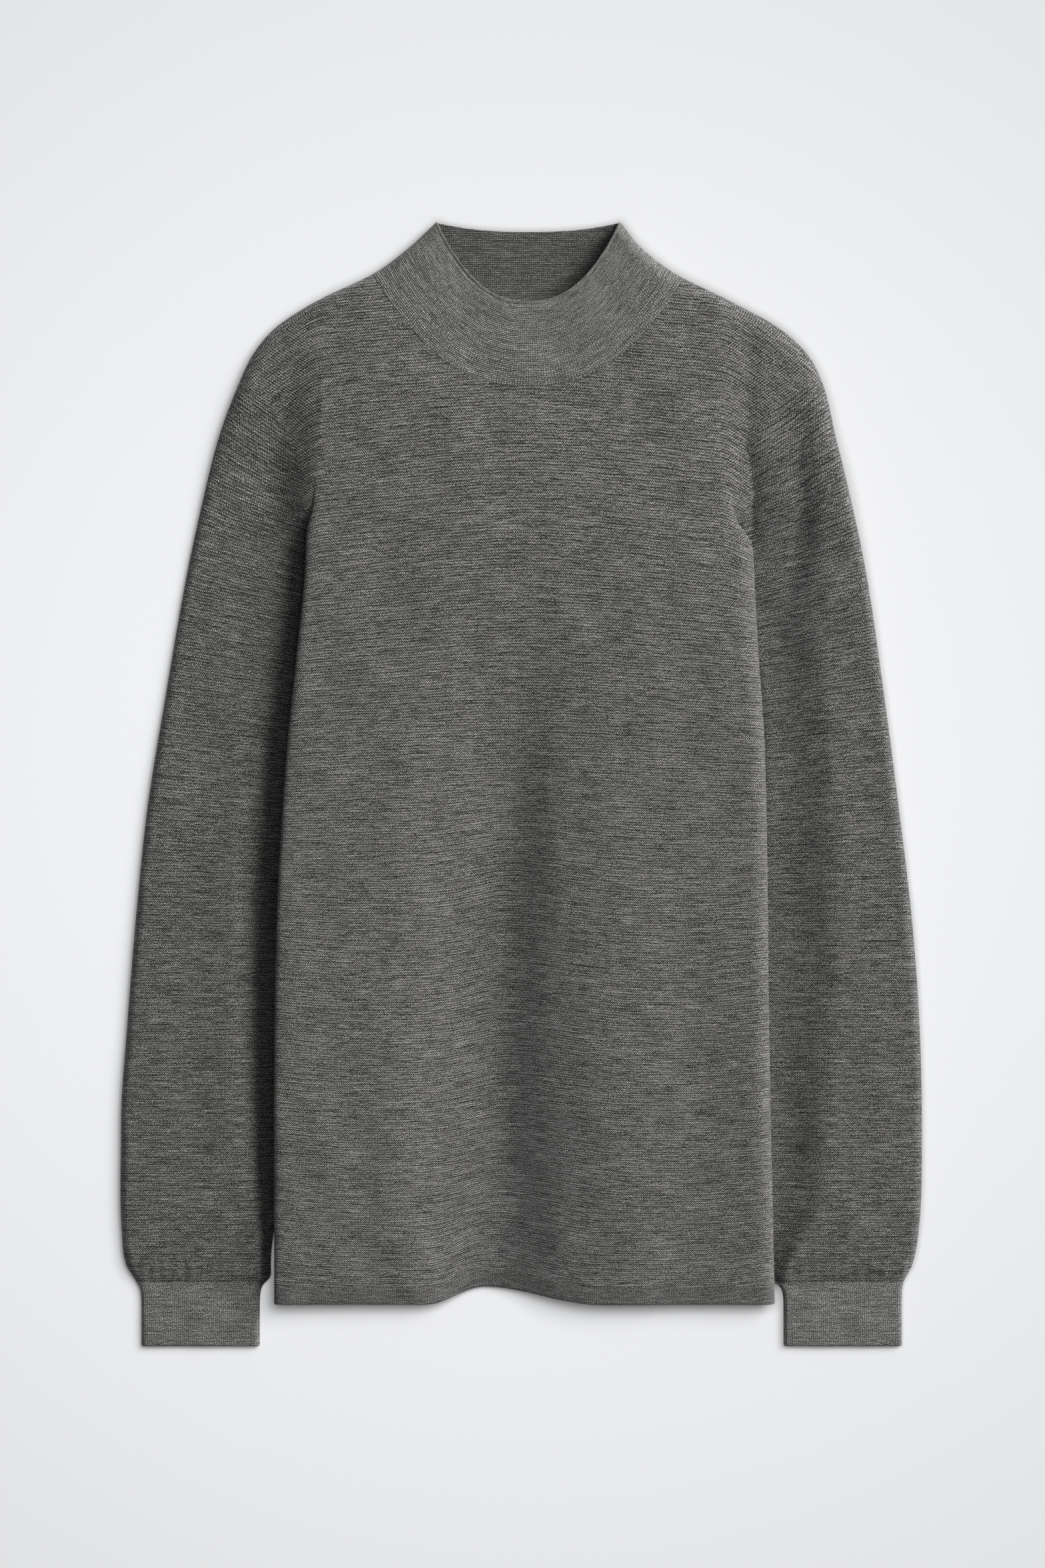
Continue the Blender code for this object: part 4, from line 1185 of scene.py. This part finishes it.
# ---- floor, light, camera
FLOOR_TONE = (0.84, 0.845, 0.855, 1)
FLOOR_HALF, FLOOR_Z = 6, -0.0003
WORLD_TONE, WORLD_STRENGTH = (0.97, 0.985, 1.0, 1), 0.12
LIGHTS = (
    # name, what it lights, azimuth, elevation, distance, size, power
    ("key", "cloth", 32, 30, 8, 5, 1010),
    ("top", "cloth", 42, 80, 4, 3, 8),
    ("floor_key", "floor", 40, 52, 20, 11.7, 2430),
    ("floor_top", "floor", 180, 88.6, 1.3, .7, 9.6),
)
CAMERA_AT = (0.0007, 0.0002, 3.010)
SENSOR = 36.0  # millimetres
VIEW_DISTANCE, VIEW_HEIGHT = 3.0, 1.0584  # the picture is this high at this distance


def make_floor():
    corners = [(x * FLOOR_HALF, y * FLOOR_HALF, FLOOR_Z) for x, y in ((-1, -1), (1, -1), (1, 1), (-1, 1))]
    mesh = bpy.data.meshes.new("floor")
    mesh.from_pydata(corners, [], [(0, 1, 2, 3)])
    b = Builder("floor")
    b.surface({"Base Color": FLOOR_TONE, "Roughness": 0.9, "Specular IOR Level": 0.1})
    mesh.materials.append(b.material)
    floor = place("floor", mesh)
    return floor


def area_light(name, lit, azimuth, elevation, distance, size, power):
    """Square light that faces the garment and lights the objects in lit. Azimuth 0 is +X, 90 is +Y."""
    a, e = math.radians(azimuth), math.radians(elevation)
    way = np.array((math.cos(a) * math.cos(e), math.sin(a) * math.cos(e), math.sin(e)))
    data = bpy.data.lights.new(name, "AREA")
    data.shape, data.size, data.energy = "SQUARE", size, power
    light = place(name, data)
    light.location = way * distance
    light.rotation_euler = (math.radians(90 - elevation), 0, math.radians(azimuth + 90))
    light.visible_camera = False
    group = bpy.data.collections.new(name + "_lit")
    for piece in lit:
        group.objects.link(piece)
    light.light_linking.receiver_collection = group


def make_studio(lit):
    """World and lights. The cloth and the floor are each lit by their own."""
    world = bpy.data.worlds.new("studio")
    world.use_nodes = True
    inputs = world.node_tree.nodes["Background"].inputs
    inputs["Color"].default_value = WORLD_TONE
    inputs["Strength"].default_value = WORLD_STRENGTH
    bpy.context.scene.world = world
    bpy.context.scene.view_settings.view_transform = "Standard"
    for name, what, *values in LIGHTS:
        area_light(name, lit[what], *values)


def make_camera():
    data = bpy.data.cameras.new("camera")
    data.sensor_width = SENSOR
    data.lens = SENSOR * VIEW_DISTANCE / VIEW_HEIGHT
    data.clip_end = 50
    camera = place("camera", data)
    camera.location = CAMERA_AT
    bpy.context.scene.camera = camera


cloth = [front, back, collar, hem_front, hem_back, *sleeves.values(), *cuffs.values()]
make_studio({"cloth": cloth, "floor": [make_floor()]})
make_camera()
